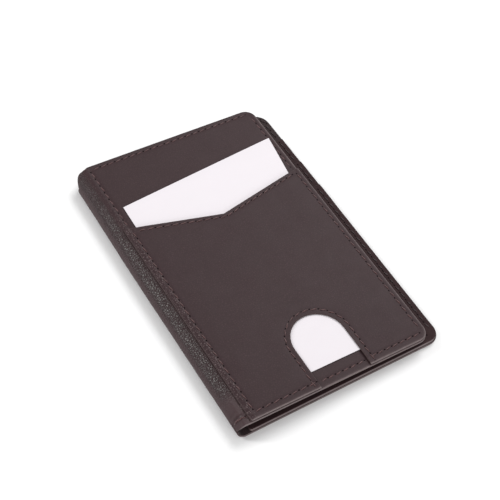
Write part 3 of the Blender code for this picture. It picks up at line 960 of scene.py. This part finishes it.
POCKET_SEAMS = {
    "spine_side": line((SPINE_SEAM, mouth_height(SPINE_SEAM) - SEAM_BELOW), (SPINE_SEAM, FOOT_SEAM)),
    "foot_left": line((SPINE_SEAM, FOOT_SEAM), (NOTCH_LEFT - SEAM_SHORT, FOOT_SEAM)),
    "foot_right": np.array(
        [(NOTCH_RIGHT + SEAM_SHORT, FOOT_SEAM)] + free_corner(FOOT_SEAM + SEAM_CORNER, -90, -45)
    ),
    "free_side": np.array(
        free_corner(FOOT_SEAM + SEAM_CORNER, -45, 0)
        + [(FRONT_RIGHT_SEAM, mouth_height(FRONT_RIGHT_SEAM) - SEAM_BELOW)]
    ),
}
PANEL_SEAMS = {
    "head_spine": line((SPINE_SEAM, mouth_height(SPINE_SEAM) + SEAM_ABOVE), (SPINE_SEAM, FRONT_TOP_SEAM)),
    "top": np.array([(SPINE_SEAM, FRONT_TOP_SEAM)] + free_corner(FRONT_TOP_SEAM - SEAM_CORNER, 90, 45)),
    "head_free": np.array(
        free_corner(FRONT_TOP_SEAM - SEAM_CORNER, 45, 0)
        + [(FRONT_RIGHT_SEAM, mouth_height(FRONT_RIGHT_SEAM) + SEAM_ABOVE)]
    ),
    "notch_foot": line((NOTCH_LEFT + SEAM_SHORT, FOOT_SEAM), (NOTCH_RIGHT - SEAM_SHORT, FOOT_SEAM)),
}
MOUTH_SEAM = np.array(
    [
        (x, float(mouth_height(x)) - CHEVRON_SEAM)
        for x in (SPINE_SEAM + 1.5 * MM, CHEVRON_X, FRONT_RIGHT_SEAM - 1.5 * MM)
    ]
)
ARCH_SEAM = np.array(
    [(NOTCH_X - NOTCH_SEAM_RADIUS, 0.9 * MM)]
    + corner_arc(NOTCH_X, NOTCH_ARCH_Y, NOTCH_SEAM_RADIUS, 180, 0, 25)
    + [(NOTCH_X + NOTCH_SEAM_RADIUS, 0.9 * MM)]
)


def add_ring(work, around, place):
    """A ring of vertices, each at place(its angle)."""
    return [work.verts.new(place(2 * math.pi * spoke / around)) for spoke in range(around)]


def stitch_mesh():
    """One stitch of two-ply thread, bowed over the leather and pulled down into its holes."""
    work = bmesh.new()
    rings = []
    for step in range(STITCH_RINGS + 1):
        share = 2 * step / STITCH_RINGS - 1
        lift = THREAD_RADIUS * (0.75 - 1.6 * share**4)
        taper = 1 - 0.35 * share**6

        def place(angle, share=share, lift=lift, taper=taper):
            radius = THREAD_RADIUS * taper * (1 + 0.2 * math.cos(2 * angle - 5.0 * share))
            across = radius * math.cos(angle) + 0.12 * MM * share
            return STITCH_LENGTH / 2 * share, across, lift + radius * math.sin(angle)

        rings.append(add_ring(work, STITCH_SIDES, place))
    for a, b in zip(rings[:-1], rings[1:]):
        for spoke in range(STITCH_SIDES):
            work.faces.new((a[spoke - 1], b[spoke - 1], b[spoke], a[spoke]))
    work.faces.new(rings[0])
    work.faces.new(list(reversed(rings[-1])))
    return finish_helper(work, "stitch")


def hole_mesh():
    """A needle hole: a small dark dish, the painted shade inside the hole, half a pitch on from the middle of
    a stitch.
    """
    work = bmesh.new()
    rings = []
    for share, height in HOLE_LEVELS:
        reach = HOLE_RADIUS * share

        def place(angle, reach=reach, height=height):
            return STITCH_PITCH / 2 + reach * math.cos(angle), reach * 0.8 * math.sin(angle), height

        rings.append(add_ring(work, HOLE_SIDES, place))
    for a, b in zip(rings[:-1], rings[1:]):
        for spoke in range(HOLE_SIDES):
            work.faces.new((a[spoke - 1], a[spoke], b[spoke], b[spoke - 1]))
    work.faces.new(rings[-1])
    bottom = [work.verts.new(vert.co - Vector((0, 0, HOLE_DEPTH))) for vert in rings[0]]
    for spoke in range(HOLE_SIDES):
        work.faces.new((rings[0][spoke], rings[0][spoke - 1], bottom[spoke - 1], bottom[spoke]))
    work.faces.new(list(reversed(bottom)))
    return finish_helper(work, "needle_hole")


def finish_helper(work, name):
    bmesh.ops.recalc_face_normals(work, faces=work.faces)
    mesh = mesh_from(work, name)
    mesh.shade_smooth()
    return add_object(name + "_pattern", mesh)


def row_tree():
    """Geometry Nodes: copies of one pattern piece at a set pitch along the edges of a path mesh."""
    tree = bpy.data.node_groups.new("seam_row", "GeometryNodeTree")
    tree.is_modifier = True
    sockets = {}
    for label, kind in (
        ("Path", "Geometry"),
        ("Pitch", "Float"),
        ("Slant", "Float"),
        ("Pattern", "Object"),
        ("Material", "Material"),
    ):
        socket = tree.interface.new_socket(label, in_out="INPUT", socket_type="NodeSocket" + kind)
        sockets[label] = socket.identifier
    tree.interface.new_socket("Row", in_out="OUTPUT", socket_type="NodeSocketGeometry")
    given = tree.nodes.new("NodeGroupInput").outputs

    def step(kind, inputs, **settings):
        node = add_node(tree, kind, **settings)
        for label, value in inputs.items():
            feed(tree, node.inputs[label], value)
        return node.outputs

    curve = step("GeometryNodeMeshToCurve", {"Mesh": given["Path"]})["Curve"]
    spaced = step("GeometryNodeResampleCurve", {"Curve": curve, "Length": given["Pitch"]}, mode="LENGTH")
    tangent = step("GeometryNodeInputTangent", {})["Tangent"]
    along = step("FunctionNodeAlignRotationToVector", {"Vector": tangent}, axis="X", pivot_axis="Z")
    slant = step("ShaderNodeCombineXYZ", {"Z": given["Slant"]})["Vector"]
    turned = step(
        "FunctionNodeRotateRotation",
        {
            "Rotation": along["Rotation"],
            "Rotate By": step("FunctionNodeEulerToRotation", {"Euler": slant})["Rotation"],
        },
        rotation_space="LOCAL",
    )
    copies = step(
        "GeometryNodeInstanceOnPoints",
        {
            "Points": spaced["Curve"],
            "Instance": step("GeometryNodeObjectInfo", {"Object": given["Pattern"]})["Geometry"],
            "Rotation": turned["Rotation"],
        },
    )
    real = step("GeometryNodeRealizeInstances", {"Geometry": copies["Instances"]})["Geometry"]
    row = step("GeometryNodeSetMaterial", {"Geometry": real, "Material": given["Material"]})["Geometry"]
    tree.links.new(row, tree.nodes.new("NodeGroupOutput").inputs["Row"])
    return tree, sockets


STITCH = stitch_mesh()
NEEDLE_HOLE = hole_mesh()
ROW_TREE, ROW_SOCKETS = row_tree()


def path_points(path, relief, level, pitch):
    """Points along a seam, on the leather: a whole number of stitches that stops short of its ends."""
    lengths = np.concatenate([[0], np.cumsum(np.linalg.norm(np.diff(path, axis=0), axis=1))])
    stitches = max(1, math.floor(lengths[-1] / pitch))
    trim = (lengths[-1] - (stitches - 1) * pitch) / 2
    where = np.linspace(trim, lengths[-1] - trim, max(2, 3 * stitches))
    places = np.column_stack([np.interp(where, lengths, path[:, axis]) for axis in (0, 1)])
    heights = relief(places) + level
    return [Vector((x, y, z)) for (x, y), z in zip(places, heights)]


def run_row(name, pattern, material, runs, pitch):
    """Lays copies of the pattern along the runs that have that pitch, and returns the mesh."""
    points, edges = [], []
    for path, relief, level, spacing in runs:
        if spacing != pitch:
            continue
        run = path_points(path, relief, level, pitch)
        edges += [(len(points) + i, len(points) + i + 1) for i in range(len(run) - 1)]
        points += run
    mesh = bpy.data.meshes.new(name + "_path")
    mesh.from_pydata(points, edges, [])
    row = add_object(name + "_path", mesh)
    modifier = row.modifiers.new("row", "NODES")
    modifier.node_group = ROW_TREE
    modifier[ROW_SOCKETS["Pitch"]] = pitch
    modifier[ROW_SOCKETS["Slant"]] = STITCH_SLANT
    modifier[ROW_SOCKETS["Pattern"]] = pattern
    modifier[ROW_SOCKETS["Material"]] = material
    bpy.context.view_layer.update()
    made = bpy.data.meshes.new_from_object(row.evaluated_get(bpy.context.evaluated_depsgraph_get()))
    bpy.data.objects.remove(row)
    return made


def sunk(run):
    """The front panel's stitches lie deeper than their holes, clear of the insert that slides there."""
    path, relief, level, pitch = run
    return path, relief, level - PANEL_SEAM_SUNK * (relief is panel_relief), pitch


def sew(name, runs, matrix, body, nodes, thread=THREAD, bend_row=None):
    """Stitches and needle holes along runs given as (path, relief, level, pitch), as two pieces.

    A row that goes round the spine is laid by bend_row(x, y, z) in place of the matrix, and has no body.
    """
    kinds = (
        ("stitches", STITCH, thread, [sunk(run) for run in runs]),
        ("holes", NEEDLE_HOLE, HOLE, runs),
    )
    pieces = []
    for suffix, pattern, material, laid in kinds:
        work = bmesh.new()
        for pitch in sorted({run[3] for run in laid}):
            work.from_mesh(run_row(name, pattern, material, laid, pitch))
        mesh = mesh_from(work, f"{name}_{suffix}")
        if bend_row is None:
            mesh.transform(matrix)
        else:
            for vert in mesh.vertices:
                vert.co = bend_row(*vert.co)
        mesh.materials.append(material)
        mesh.shade_smooth()
        piece = add_object(f"{name}_{suffix}", mesh)
        if body:
            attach(piece, body)
        pieces.append(piece)
    if nodes:
        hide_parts(*nodes)
    return pieces


# ---------------------------------------------------------------- the outer leather and lining


def free_edge(foot):
    """The foot and free side of the front leaf, round their corner."""
    middle = foot + FRONT_CORNER
    corner = corner_arc(FRONT_WIDTH - FRONT_CORNER, middle, FRONT_CORNER, -90, 0)
    return np.array([(POCKET_SIDE, foot), *corner, (FRONT_WIDTH, LENGTH - FRONT_CORNER)])


def squeeze(y):
    """The spine stands out less towards its head."""
    return 1 - SPINE_HEAD_SQUEEZE * float(rise(y, 0.55 * LENGTH, 0.4 * LENGTH))


def bend(leaf, centre_x, level, radius, up):
    """Maps a flat sheet in a leaf's frame so that its spine side rolls round the spine.

    level is the outer face's height in the leaf; the sheet's own Z is counted outwards from that
    face. up is 1 where the outer face is on top and -1 where it is underneath.
    """

    def place(x, y, z):
        if x >= centre_x:
            return leaf @ Vector((x, y, level + up * z))
        angle = (centre_x - x) / radius
        across = (radius + z) * math.sin(angle) * squeeze(y)
        down = radius - (radius + z) * math.cos(angle)
        return leaf @ Vector((centre_x - across, y, level - up * down))

    return place


def front_bend(level, radius):
    return bend(FRONT_FRAME, SPINE_CENTRE_X, level, radius, 1)


def back_bend(level, radius):
    return bend(BACK_FRAME, LOWER_CENTRE_X, level, radius, -1)


def spined_outline(start, right, foot, head, corner, bend_start, narrowing=0.0):
    """A leaf's outline whose spine side is cut back towards the middle of the spine, at start.

    It runs on past start, where the sheet is cut off. narrowing: how much less wide its head is.
    """
    half = bend_start - start
    outline = [(bend_start - half * share, foot + cut * MM, 0) for share, cut in FOOT_CUTS]
    outline += [(right, foot, corner), (right - narrowing, head, corner)]
    return outline + [(bend_start - half * share, head - cut * MM, 0) for share, cut in HEAD_CUTS]


def spine_cuts(start, centre, spacing, rest):
    return steps([(start, start + 1 * MM, spacing / 2), (start + 1 * MM, centre, spacing), *rest])


def spine_slack(places, seed):
    return slack(places, 5 * MM, WAVE, seed)


def shoulder_relief(places):
    """The spine's shoulder stands up a little beside the seam, and creases cross it at the foot."""
    ridge = SHOULDER_RIDGE * np.exp(-(((places[:, 0] - RIDGE_X) / RIDGE_WIDTH) ** 2))
    fold = np.zeros(len(places))
    for where, depth, width in FOOT_FOLDS:
        bent = places[:, 1] - where * MM - FOLD_SLOPE * (places[:, 0] - FOLD_X)
        fold += depth * MM * np.exp(-((bent / (width * MM)) ** 2))
    beside = rise(SHOULDER_X - places[:, 0], 0, BESIDE)
    return (ridge - fold + spine_slack(places, 2.0)) * beside


def make_outer_leather():
    y_cuts = steps(
        [
            (BACK_FOOT, 7 * MM, 0.3 * MM),
            (7 * MM, LENGTH - 9 * MM, 2.5 * MM),
            (LENGTH - 9 * MM, LENGTH, 0.5 * MM),
        ]
    )
    start = LOWER_CENTRE_X - math.pi / 2 * LOWER_RADIUS
    rest = [(LOWER_CENTRE_X, 4 * MM, 0.8 * MM), (4 * MM, BACK_WIDTH, 3 * MM)]

    def back_relief(places):
        return spine_slack(places, 4.0) * rise(LOWER_CENTRE_X - places[:, 0], 0, BESIDE)

    back = leather_sheet(
        "outer_leather_back",
        [spined_outline(start, BACK_WIDTH, BACK_FOOT, BACK_HEAD, BACK_CORNER, LOWER_CENTRE_X, NARROWING)],
        COVER,
        (spine_cuts(start, LOWER_CENTRE_X, 0.25 * MM, rest), y_cuts),
        back_relief,
        back_bend(0.0, LOWER_RADIUS),
        [GRAINED, EDGE_PAINT],
        joins_at=start,
        worn_and_lit=line((start, BACK_FOOT), (BACK_WIDTH, BACK_FOOT)),
    )
    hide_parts("back_cover")
    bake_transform(back)

    start = SPINE_CENTRE_X - (math.pi / 2 + TILT) * SPINE_RADIUS
    rest = [(SPINE_CENTRE_X, 4 * MM, 0.5 * MM), (4 * MM, FRONT_WIDTH, 3 * MM)]
    front = leather_sheet(
        "outer_leather_front",
        [spined_outline(start, FRONT_WIDTH, 0, LENGTH, FRONT_CORNER, SPINE_CENTRE_X)],
        COVER,
        (spine_cuts(start, SPINE_CENTRE_X, 0.25 * MM, rest), y_cuts),
        shoulder_relief,
        front_bend(SPINE_TOP, SPINE_RADIUS),
        [GRAINED, EDGE_PAINT],
        joins_at=start,
        worn_and_lit=np.concatenate([line((start, 0)), free_edge(0)]),
    )
    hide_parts("front_cover", "spine_cover")
    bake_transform(front)

    tack = line((-4.1 * MM, FOOT_SEAM + 0.5 * MM), (0.4 * MM, FOOT_SEAM + 0.1 * MM))
    run = (tack, shoulder_relief, 0.0, TACK_PITCH)
    for piece in sew("foot_tack", [run], None, None, [], bend_row=front_bend(SPINE_TOP, SPINE_RADIUS)):
        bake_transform(piece)


def make_lining():
    lower_radius = LOWER_RADIUS - COVER - LAYER_GAP
    upper_radius = SPINE_RADIUS - COVER - LAYER_GAP
    y_cuts = steps([(0, LENGTH, 4 * MM)])
    start = LOWER_CENTRE_X - math.pi / 2 * lower_radius
    right = BACK_WIDTH - STACK_INSET
    foot, head = STACK_INSET + BACK_FOOT, BACK_HEAD - STACK_INSET
    back = leather_sheet(
        "lining_back",
        [spined_outline(start, right, foot, head, BACK_CORNER - STACK_INSET, LOWER_CENTRE_X, NARROWING)],
        LINING,
        (spine_cuts(start, LOWER_CENTRE_X, 0.3 * MM, [(LOWER_CENTRE_X, right, 6 * MM)]), y_cuts),
        no_relief,
        back_bend(BACK_LINING_FLOOR, lower_radius),
        [CLOTH, CLOTH],
        joins_at=start,
    )
    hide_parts("back_lining")
    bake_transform(back)
    start = SPINE_CENTRE_X - (math.pi / 2 + TILT) * upper_radius
    right, head = FRONT_WIDTH - INSIDE_INSET, LENGTH - INSIDE_INSET
    level = FRONT_LINING_FLOOR + LINING
    front = leather_sheet(
        "lining_front",
        [spined_outline(start, right, INSIDE_INSET, head, FRONT_CORNER - INSIDE_INSET, SPINE_CENTRE_X)],
        LINING,
        (spine_cuts(start, SPINE_CENTRE_X, 0.3 * MM, [(SPINE_CENTRE_X, right, 6 * MM)]), y_cuts),
        no_relief,
        front_bend(level, upper_radius),
        [CLOTH, CLOTH],
        joins_at=start,
    )
    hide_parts("front_lining", "spine_lining")
    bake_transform(front)


# ---------------------------------------------------------------- the front leaf's outside


def skived(places, edge):
    """How much of the skiving's depth is off, from none inside the sheet to all at that edge."""
    return 1 - rise(places[:, 0], edge, SKIVE_WIDTH)


def panel_relief(places):
    wave = slack(places, 22 * MM, WAVE, 7.0)
    seams = grooves(places, PANEL_SEAMS.values()) * PANEL_GROOVE
    return seams + wave - WAVE - PANEL_SKIVE * skived(places, 0)


def panel_thickness(places):
    return PANEL - PANEL_SKIVE * skived(places, 0)


def inside_pocket(places, width):
    """From none at the pocket's sewn margin to all over the insert, over that width."""
    from_side = np.minimum(places[:, 0] - SPINE_SEAM, FRONT_RIGHT_SEAM - places[:, 0])
    from_foot = places[:, 1] - FOOT_SEAM
    return rise(from_side, 0, width) * rise(from_foot, 0, width)


def pocket_relief(places):
    """Lies on the panel along its seams and rises over the insert between them."""
    notch = np.hypot(places[:, 0] - NOTCH_X, np.maximum(places[:, 1] - NOTCH_ARCH_Y, 0)) - NOTCH_SEAM_RADIUS
    inside = inside_pocket(places, 6 * MM)
    dip = NOTCH_DIP * (1 - rise(notch, 0, 4 * MM))
    wave = slack(places, 26 * MM, WAVE, 11.0)
    seams = [*POCKET_SEAMS.values(), MOUTH_SEAM, ARCH_SEAM]
    skive = (PANEL_SKIVE + POCKET_SKIVE) * skived(places, POCKET_SIDE)
    return (POCKET_PUFF * (1 - dip) + wave) * inside + grooves(places, seams) - skive


def pocket_thickness(places):
    margin = (POCKET_MARGIN - POCKET) * (1 - inside_pocket(places, 1.2 * MM))
    return POCKET + margin - POCKET_SKIVE * skived(places, POCKET_SIDE)


def make_front_panel():
    outline = [
        (0, 0, SMALL_CORNER),
        (FRONT_WIDTH, 0, FRONT_CORNER),
        (FRONT_WIDTH, LENGTH, FRONT_CORNER),
        (2.2 * MM, LENGTH, 0),
        (0, LENGTH - 0.85 * MM, 0.3 * MM),
    ]
    margins = (5 * MM, 4 * MM)
    cuts = [edge_cuts(0, end, margins, OUTSIDE_CUT, 2.5 * MM) for end in (FRONT_WIDTH, LENGTH)]
    panel = leather_sheet(
        "back_panel_of_pocket", [outline], panel_thickness, cuts, panel_relief,
        flat_place(FRONT_FRAME, PANEL_TOP), [SMOOTH, EDGE_PAINT], worn_and_lit=free_edge(0),
    )
    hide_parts("front_panel")
    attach(panel, "front_leaf")


def make_thumb_pocket():
    outline = [
        (POCKET_SIDE, POCKET_FOOT, SMALL_CORNER),
        (NOTCH_LEFT, POCKET_FOOT, 0),
        (NOTCH_LEFT, NOTCH_TOP, NOTCH_RADIUS),
        (NOTCH_RIGHT, NOTCH_TOP, NOTCH_RADIUS),
        (NOTCH_RIGHT, POCKET_FOOT, 0),
        (FRONT_WIDTH, POCKET_FOOT, FRONT_CORNER),
        (FRONT_WIDTH, CHEVRON_FREE_Y, 0),
        (CHEVRON_X, CHEVRON_Y, 0),
        (POCKET_SIDE, CHEVRON_TOP, 0),
    ]
    fine = OUTSIDE_CUT
    x_cuts = steps(
        [
            (0, 5 * MM, fine),
            (5 * MM, NOTCH_LEFT - 4 * MM, 1.5 * MM),
            (NOTCH_LEFT - 4 * MM, NOTCH_RIGHT + 4 * MM, 0.6 * MM),
            (NOTCH_RIGHT + 4 * MM, FRONT_WIDTH - 4 * MM, 1.5 * MM),
            (FRONT_WIDTH - 4 * MM, FRONT_WIDTH, fine),
        ]
    )
    y_cuts = steps(
        [
            (0, 5 * MM, fine),
            (5 * MM, NOTCH_TOP + 4 * MM, 0.6 * MM),
            (NOTCH_TOP + 4 * MM, CHEVRON_Y - 4 * MM, 2 * MM),
            (CHEVRON_Y - 4 * MM, CHEVRON_TOP, fine),
        ]
    )
    pocket = leather_sheet(
        "thumb_pocket_leather", [outline], pocket_thickness, (x_cuts, y_cuts), pocket_relief,
        flat_place(FRONT_FRAME, POCKET_TOP), [SMOOTH, EDGE_PAINT], worn_and_lit=free_edge(POCKET_FOOT),
    )
    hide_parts("thumb_pocket")
    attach(pocket, "front_leaf")


def make_front_seams():
    pocket = (pocket_relief, POCKET_TOP)
    panel = (panel_relief, PANEL_TOP)
    runs = [(POCKET_SEAMS[name], *pocket, STITCH_PITCH) for name in ("spine_side", "free_side")]
    runs += [(POCKET_SEAMS[name], *pocket, CROSS_PITCH) for name in ("foot_left", "foot_right")]
    runs += [(PANEL_SEAMS[name], *panel, STITCH_PITCH) for name in ("head_spine", "head_free")]
    runs += [(PANEL_SEAMS[name], *panel, CROSS_PITCH) for name in ("top", "notch_foot")]
    sew("front_seam", runs, FRONT_FRAME, "front_leaf", ["front_seam_thread"])
    mouth = (MOUTH_SEAM, *pocket, CROSS_PITCH)
    sew("chevron_seam", [mouth], FRONT_FRAME, "front_leaf", ["chevron_thread"])
    arch = (ARCH_SEAM, *pocket, CROSS_PITCH)
    sew("notch_seam", [arch], FRONT_FRAME, "front_leaf", ["notch_thread"])


def make_insert():
    """The insert narrows to its foot. Its corners follow the CAD node's box."""
    low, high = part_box("insert_card")
    left, right = low.x - LEFT_X, high.x - LEFT_X
    foot, top = low.y - FOOT_Y, high.y - FOOT_Y
    corners = [
        (left, foot, 0),
        (right - INSERT_TAPER, foot, 0),
        (right, top, 0),
        (left + INSERT_LEAN, top - INSERT_SLANT, 0),
    ]

    def bow(places):
        return 0.05 * MM * np.sin(np.pi * (places[:, 0] - left) / (right - left)) - 0.05 * MM

    card = leather_sheet(
        "paper_insert", [corners], CARD, (steps([(left, right, 5 * MM)]), steps([(foot, top, 8 * MM)])),
        bow, flat_place(FRONT_FRAME, CARD_FLOOR + CARD), [WHITE_CARD, WHITE_CARD],
    )
    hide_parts("insert_card")
    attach(card, "insert")


# ---------------------------------------------------------------- the insides


def slot_outline(left, right, mouth):
    """A T: the strip that shows below the mouth, and a narrower stem behind the next slot."""
    shoulder = mouth - SLOT_STRIP
    sides = (left, left + SLOT_STEM_INSET, right - SLOT_STEM_INSET, right)
    half = [(sides[0], mouth), (sides[0], shoulder), (sides[1], shoulder), (sides[1], SLOT_STEM_FOOT)]
    other = [(sides[2], SLOT_STEM_FOOT), (sides[2], shoulder), (sides[3], shoulder), (sides[3], mouth)]
    return [(x, y, 0) for x, y in half + other]


def make_slots():
    left = STACK_INSET
    right = BACK_WIDTH - INSIDE_INSET
    foot = STACK_INSET + BACK_FOOT
    corner = BACK_CORNER - INSIDE_INSET
    seam_left, seam_right = INSIDE_INSET + SEAM, BACK_WIDTH - INSIDE_INSET - SEAM
    seam_foot = INSIDE_INSET + BACK_FOOT + SEAM
    x_cuts = edge_cuts(left, right, (5 * MM, 4 * MM), INSIDE_CUT, 4 * MM)

    panels = [
        ("rear", FRONT_SLOT_TOP + 2 * SLOT_STAGGER, REAR_SLOT_FLOOR),
        ("middle", FRONT_SLOT_TOP + SLOT_STAGGER, MIDDLE_SLOT_FLOOR),
        ("front", FRONT_SLOT_TOP, FRONT_SLOT_FLOOR),
    ]
    hem_depth = FRONT_SLOT_FLOOR - REAR_SLOT_FLOOR - LAYER_GAP

    def hemmed(places):
        """The front slot's hem fills the stack down to the lining, along its foot and its sides."""
        side = np.minimum(places[:, 0] - left, right - places[:, 0])
        at_foot = 1 - rise(places[:, 1], foot + 2.6 * MM, 3 * MM)
        at_side = 1 - rise(side, 2.6 * MM, 4 * MM)
        at_side *= 1 - rise(places[:, 1], FRONT_SLOT_TOP - 12 * MM, 5 * MM)
        return SLOT + hem_depth * np.maximum(at_foot, at_side)

    seam_runs = []
    below = {"rear": FRONT_SLOT_TOP + SLOT_STAGGER, "middle": FRONT_SLOT_TOP, "front": seam_foot}
    for label, mouth, floor in panels:
        row = line((seam_left + 2 * MM, mouth - SEAM), (seam_right - 2 * MM, mouth - SEAM))
        sides = [
            line((x, below[label] + (SEAM_ABOVE if label != "front" else 0)), (x, mouth - SEAM_SHORT))
            for x in (seam_left, seam_right)
        ]
        if label == "front":
            sides.append(line((seam_left, seam_foot), (seam_right - corner / 2, seam_foot)))

        def slot_relief(places, row=row, sides=tuple(sides)):
            return grooves(places, [row, *sides]) * SLOT_GROOVE

        if label == "front":
            outline = [(left, foot, SMALL_CORNER), (right, foot, corner), (right, mouth, 0), (left, mouth, 0)]
            y_cuts = edge_cuts(foot, mouth, (4 * MM, 4 * MM), INSIDE_CUT, 4 * MM)
        else:
            outline = slot_outline(left, right, mouth)
            y_cuts = steps([(SLOT_STEM_FOOT, mouth - 4 * MM, 5 * MM), (mouth - 4 * MM, mouth, INSIDE_CUT)])
        level = floor + SLOT
        panel = leather_sheet(
            f"slot_panel_{label}", [outline], hemmed if label == "front" else SLOT, (x_cuts, y_cuts),
            slot_relief, flat_place(BACK_FRAME, level), [INNER, SLOT_EDGE],
            worn_and_lit=line((left, foot), (right, foot)),
        )
        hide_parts(f"back_slot_{label}")
        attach(panel, "back_leaf")
        run = (row, slot_relief, level, CROSS_PITCH)
        nodes = [f"slot_thread_{label}"]
        sew(f"slot_seam_{label}", [run], BACK_FRAME, "back_leaf", nodes, SHADED_INNER_THREAD)
        seam_runs += [(side, slot_relief, level, STITCH_PITCH) for side in sides]
    head = FRONT_SLOT_TOP + 2 * SLOT_STAGGER + SEAM_ABOVE
    top = LENGTH - INSIDE_INSET - SEAM
    loop = line((seam_left, head), (seam_left, top), (seam_right, top), (seam_right, head))
    seam_runs.append((loop, no_relief, BACK_LINING_FLOOR + LINING, STITCH_PITCH))
    sew("back_seam", seam_runs, BACK_FRAME, "back_leaf", ["back_seam_thread"], SHADED_INNER_THREAD)


def make_window():
    low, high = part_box("window_frame")
    left, right = INSIDE_INSET, FRONT_WIDTH - INSIDE_INSET
    foot, head = low.y - FOOT_Y, high.y - FOOT_Y
    corner = FRONT_CORNER - INSIDE_INSET
    film_low, film_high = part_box("id_window")
    window = (
        left + WINDOW_SIDE,
        film_low.y - FOOT_Y + FILM_BORDER,
        right - WINDOW_SIDE,
        film_high.y - FOOT_Y - FILM_BORDER,
    )
    outer = [(left, foot, corner), (right, foot, corner), (right, head, 0), (left, head, 0)]
    edges = [window[0] - SEAM, window[1] - SEAM, window[2] + SEAM, window[3] + SEAM]
    seam = rounded_outline(rectangle(*edges, WINDOW_CORNER + SEAM))
    seam = np.array(seam + seam[:1])

    def frame_relief(places):
        return grooves(places, [seam]) * FRAME_GROOVE

    x_cuts = frame_cuts(left, right, window[0], window[2])
    y_cuts = frame_cuts(foot, head, window[1], window[3])
    frame_leather = leather_sheet(
        "window_frame_leather", [outer, rectangle(*window, WINDOW_CORNER)], WINDOW_FRAME,
        (x_cuts, y_cuts), frame_relief, lambda x, y, z: FRONT_FRAME @ Vector((x, y, -z)),
        [INNER, SHADED_INNER_EDGE],
    )
    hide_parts("window_frame")
    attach(frame_leather, "front_leaf")
    mirrored = FRONT_FRAME @ Matrix.Diagonal((1, 1, -1, 1))
    run = (seam, frame_relief, 0.0, CROSS_PITCH)
    for piece in sew("window_seam", [run], mirrored, "front_leaf", ["window_thread"], SHADED_INNER_THREAD):
        piece.data.flip_normals()


# ---------------------------------------------------------------- stage


def dress_cad_nodes():
    """The clear film keeps its CAD shape."""
    film = frame["nodes"]["id_window"]
    film.data.materials.clear()
    film.data.materials.append(CLEAR_FILM)


def make_floor():
    work = bmesh.new()
    bmesh.ops.create_grid(work, x_segments=1, y_segments=1, size=3.0)
    mesh = mesh_from(work, "floor")
    floor = add_object("floor", mesh)
    floor.location.z = -0.02 * MM
    material, tree, shader = start_material("pale_floor", {"Roughness": 0.9, "Specular IOR Level": 0.0})
    shader.inputs["Base Color"].default_value = (0.93, 0.93, 0.93, 1)
    mesh.materials.append(material)


def add_softbox(name, direction, distance, size, watts):
    """A rectangular light that faces the wallet from that direction."""
    light = bpy.data.lights.new(name, "AREA")
    light.shape = "RECTANGLE"
    light.size, light.size_y = size
    light.energy = watts
    box = add_object(name, light)
    way = Vector(direction).normalized()
    box.location = way * distance
    box.rotation_euler = (-way).to_track_quat("-Z", "Y").to_euler()


def light_stage():
    world = bpy.data.worlds.new("studio")
    bpy.context.scene.world = world
    world.use_nodes = True
    backdrop = world.node_tree.nodes["Background"]
    backdrop.inputs["Color"].default_value = (1, 1, 1, 1)
    backdrop.inputs["Strength"].default_value = 0.49
    add_softbox("key_softbox", (0.75, 0.45, 1.0), 0.9, (0.5, 0.5), 5.3)
    add_softbox("spine_strip", (-0.65, 0.45, 0.50), 0.8, (0.12, 0.4), 2.6)
    add_softbox("foot_fill", (-0.1, -0.9, 0.25), 0.9, (0.7, 0.25), 3.8)
    bpy.context.scene.view_settings.view_transform = "Standard"


def place_camera():
    level = math.cos(CAMERA_PITCH)
    across, along = math.sin(CAMERA_HEADING) * level, math.cos(CAMERA_HEADING) * level
    look = Vector((across, along, -math.sin(CAMERA_PITCH)))
    lens = bpy.data.cameras.new("camera")
    lens.lens = CAMERA_LENS
    lens.sensor_width = 36.0
    lens.clip_start = 0.01
    camera = add_object("camera", lens)
    camera.location = CAMERA_TARGET - look * CAMERA_DISTANCE
    turn = look.to_track_quat("-Z", "Y") @ Quaternion((0, 0, 1), CAMERA_ROLL)
    camera.rotation_euler = turn.to_euler()
    bpy.context.scene.camera = camera


make_outer_leather()
make_lining()
make_front_panel()
make_thumb_pocket()
make_front_seams()
make_insert()
make_slots()
make_window()
dress_cad_nodes()
for helper in (STITCH, NEEDLE_HOLE):
    bpy.data.objects.remove(helper)
make_floor()
light_stage()
place_camera()
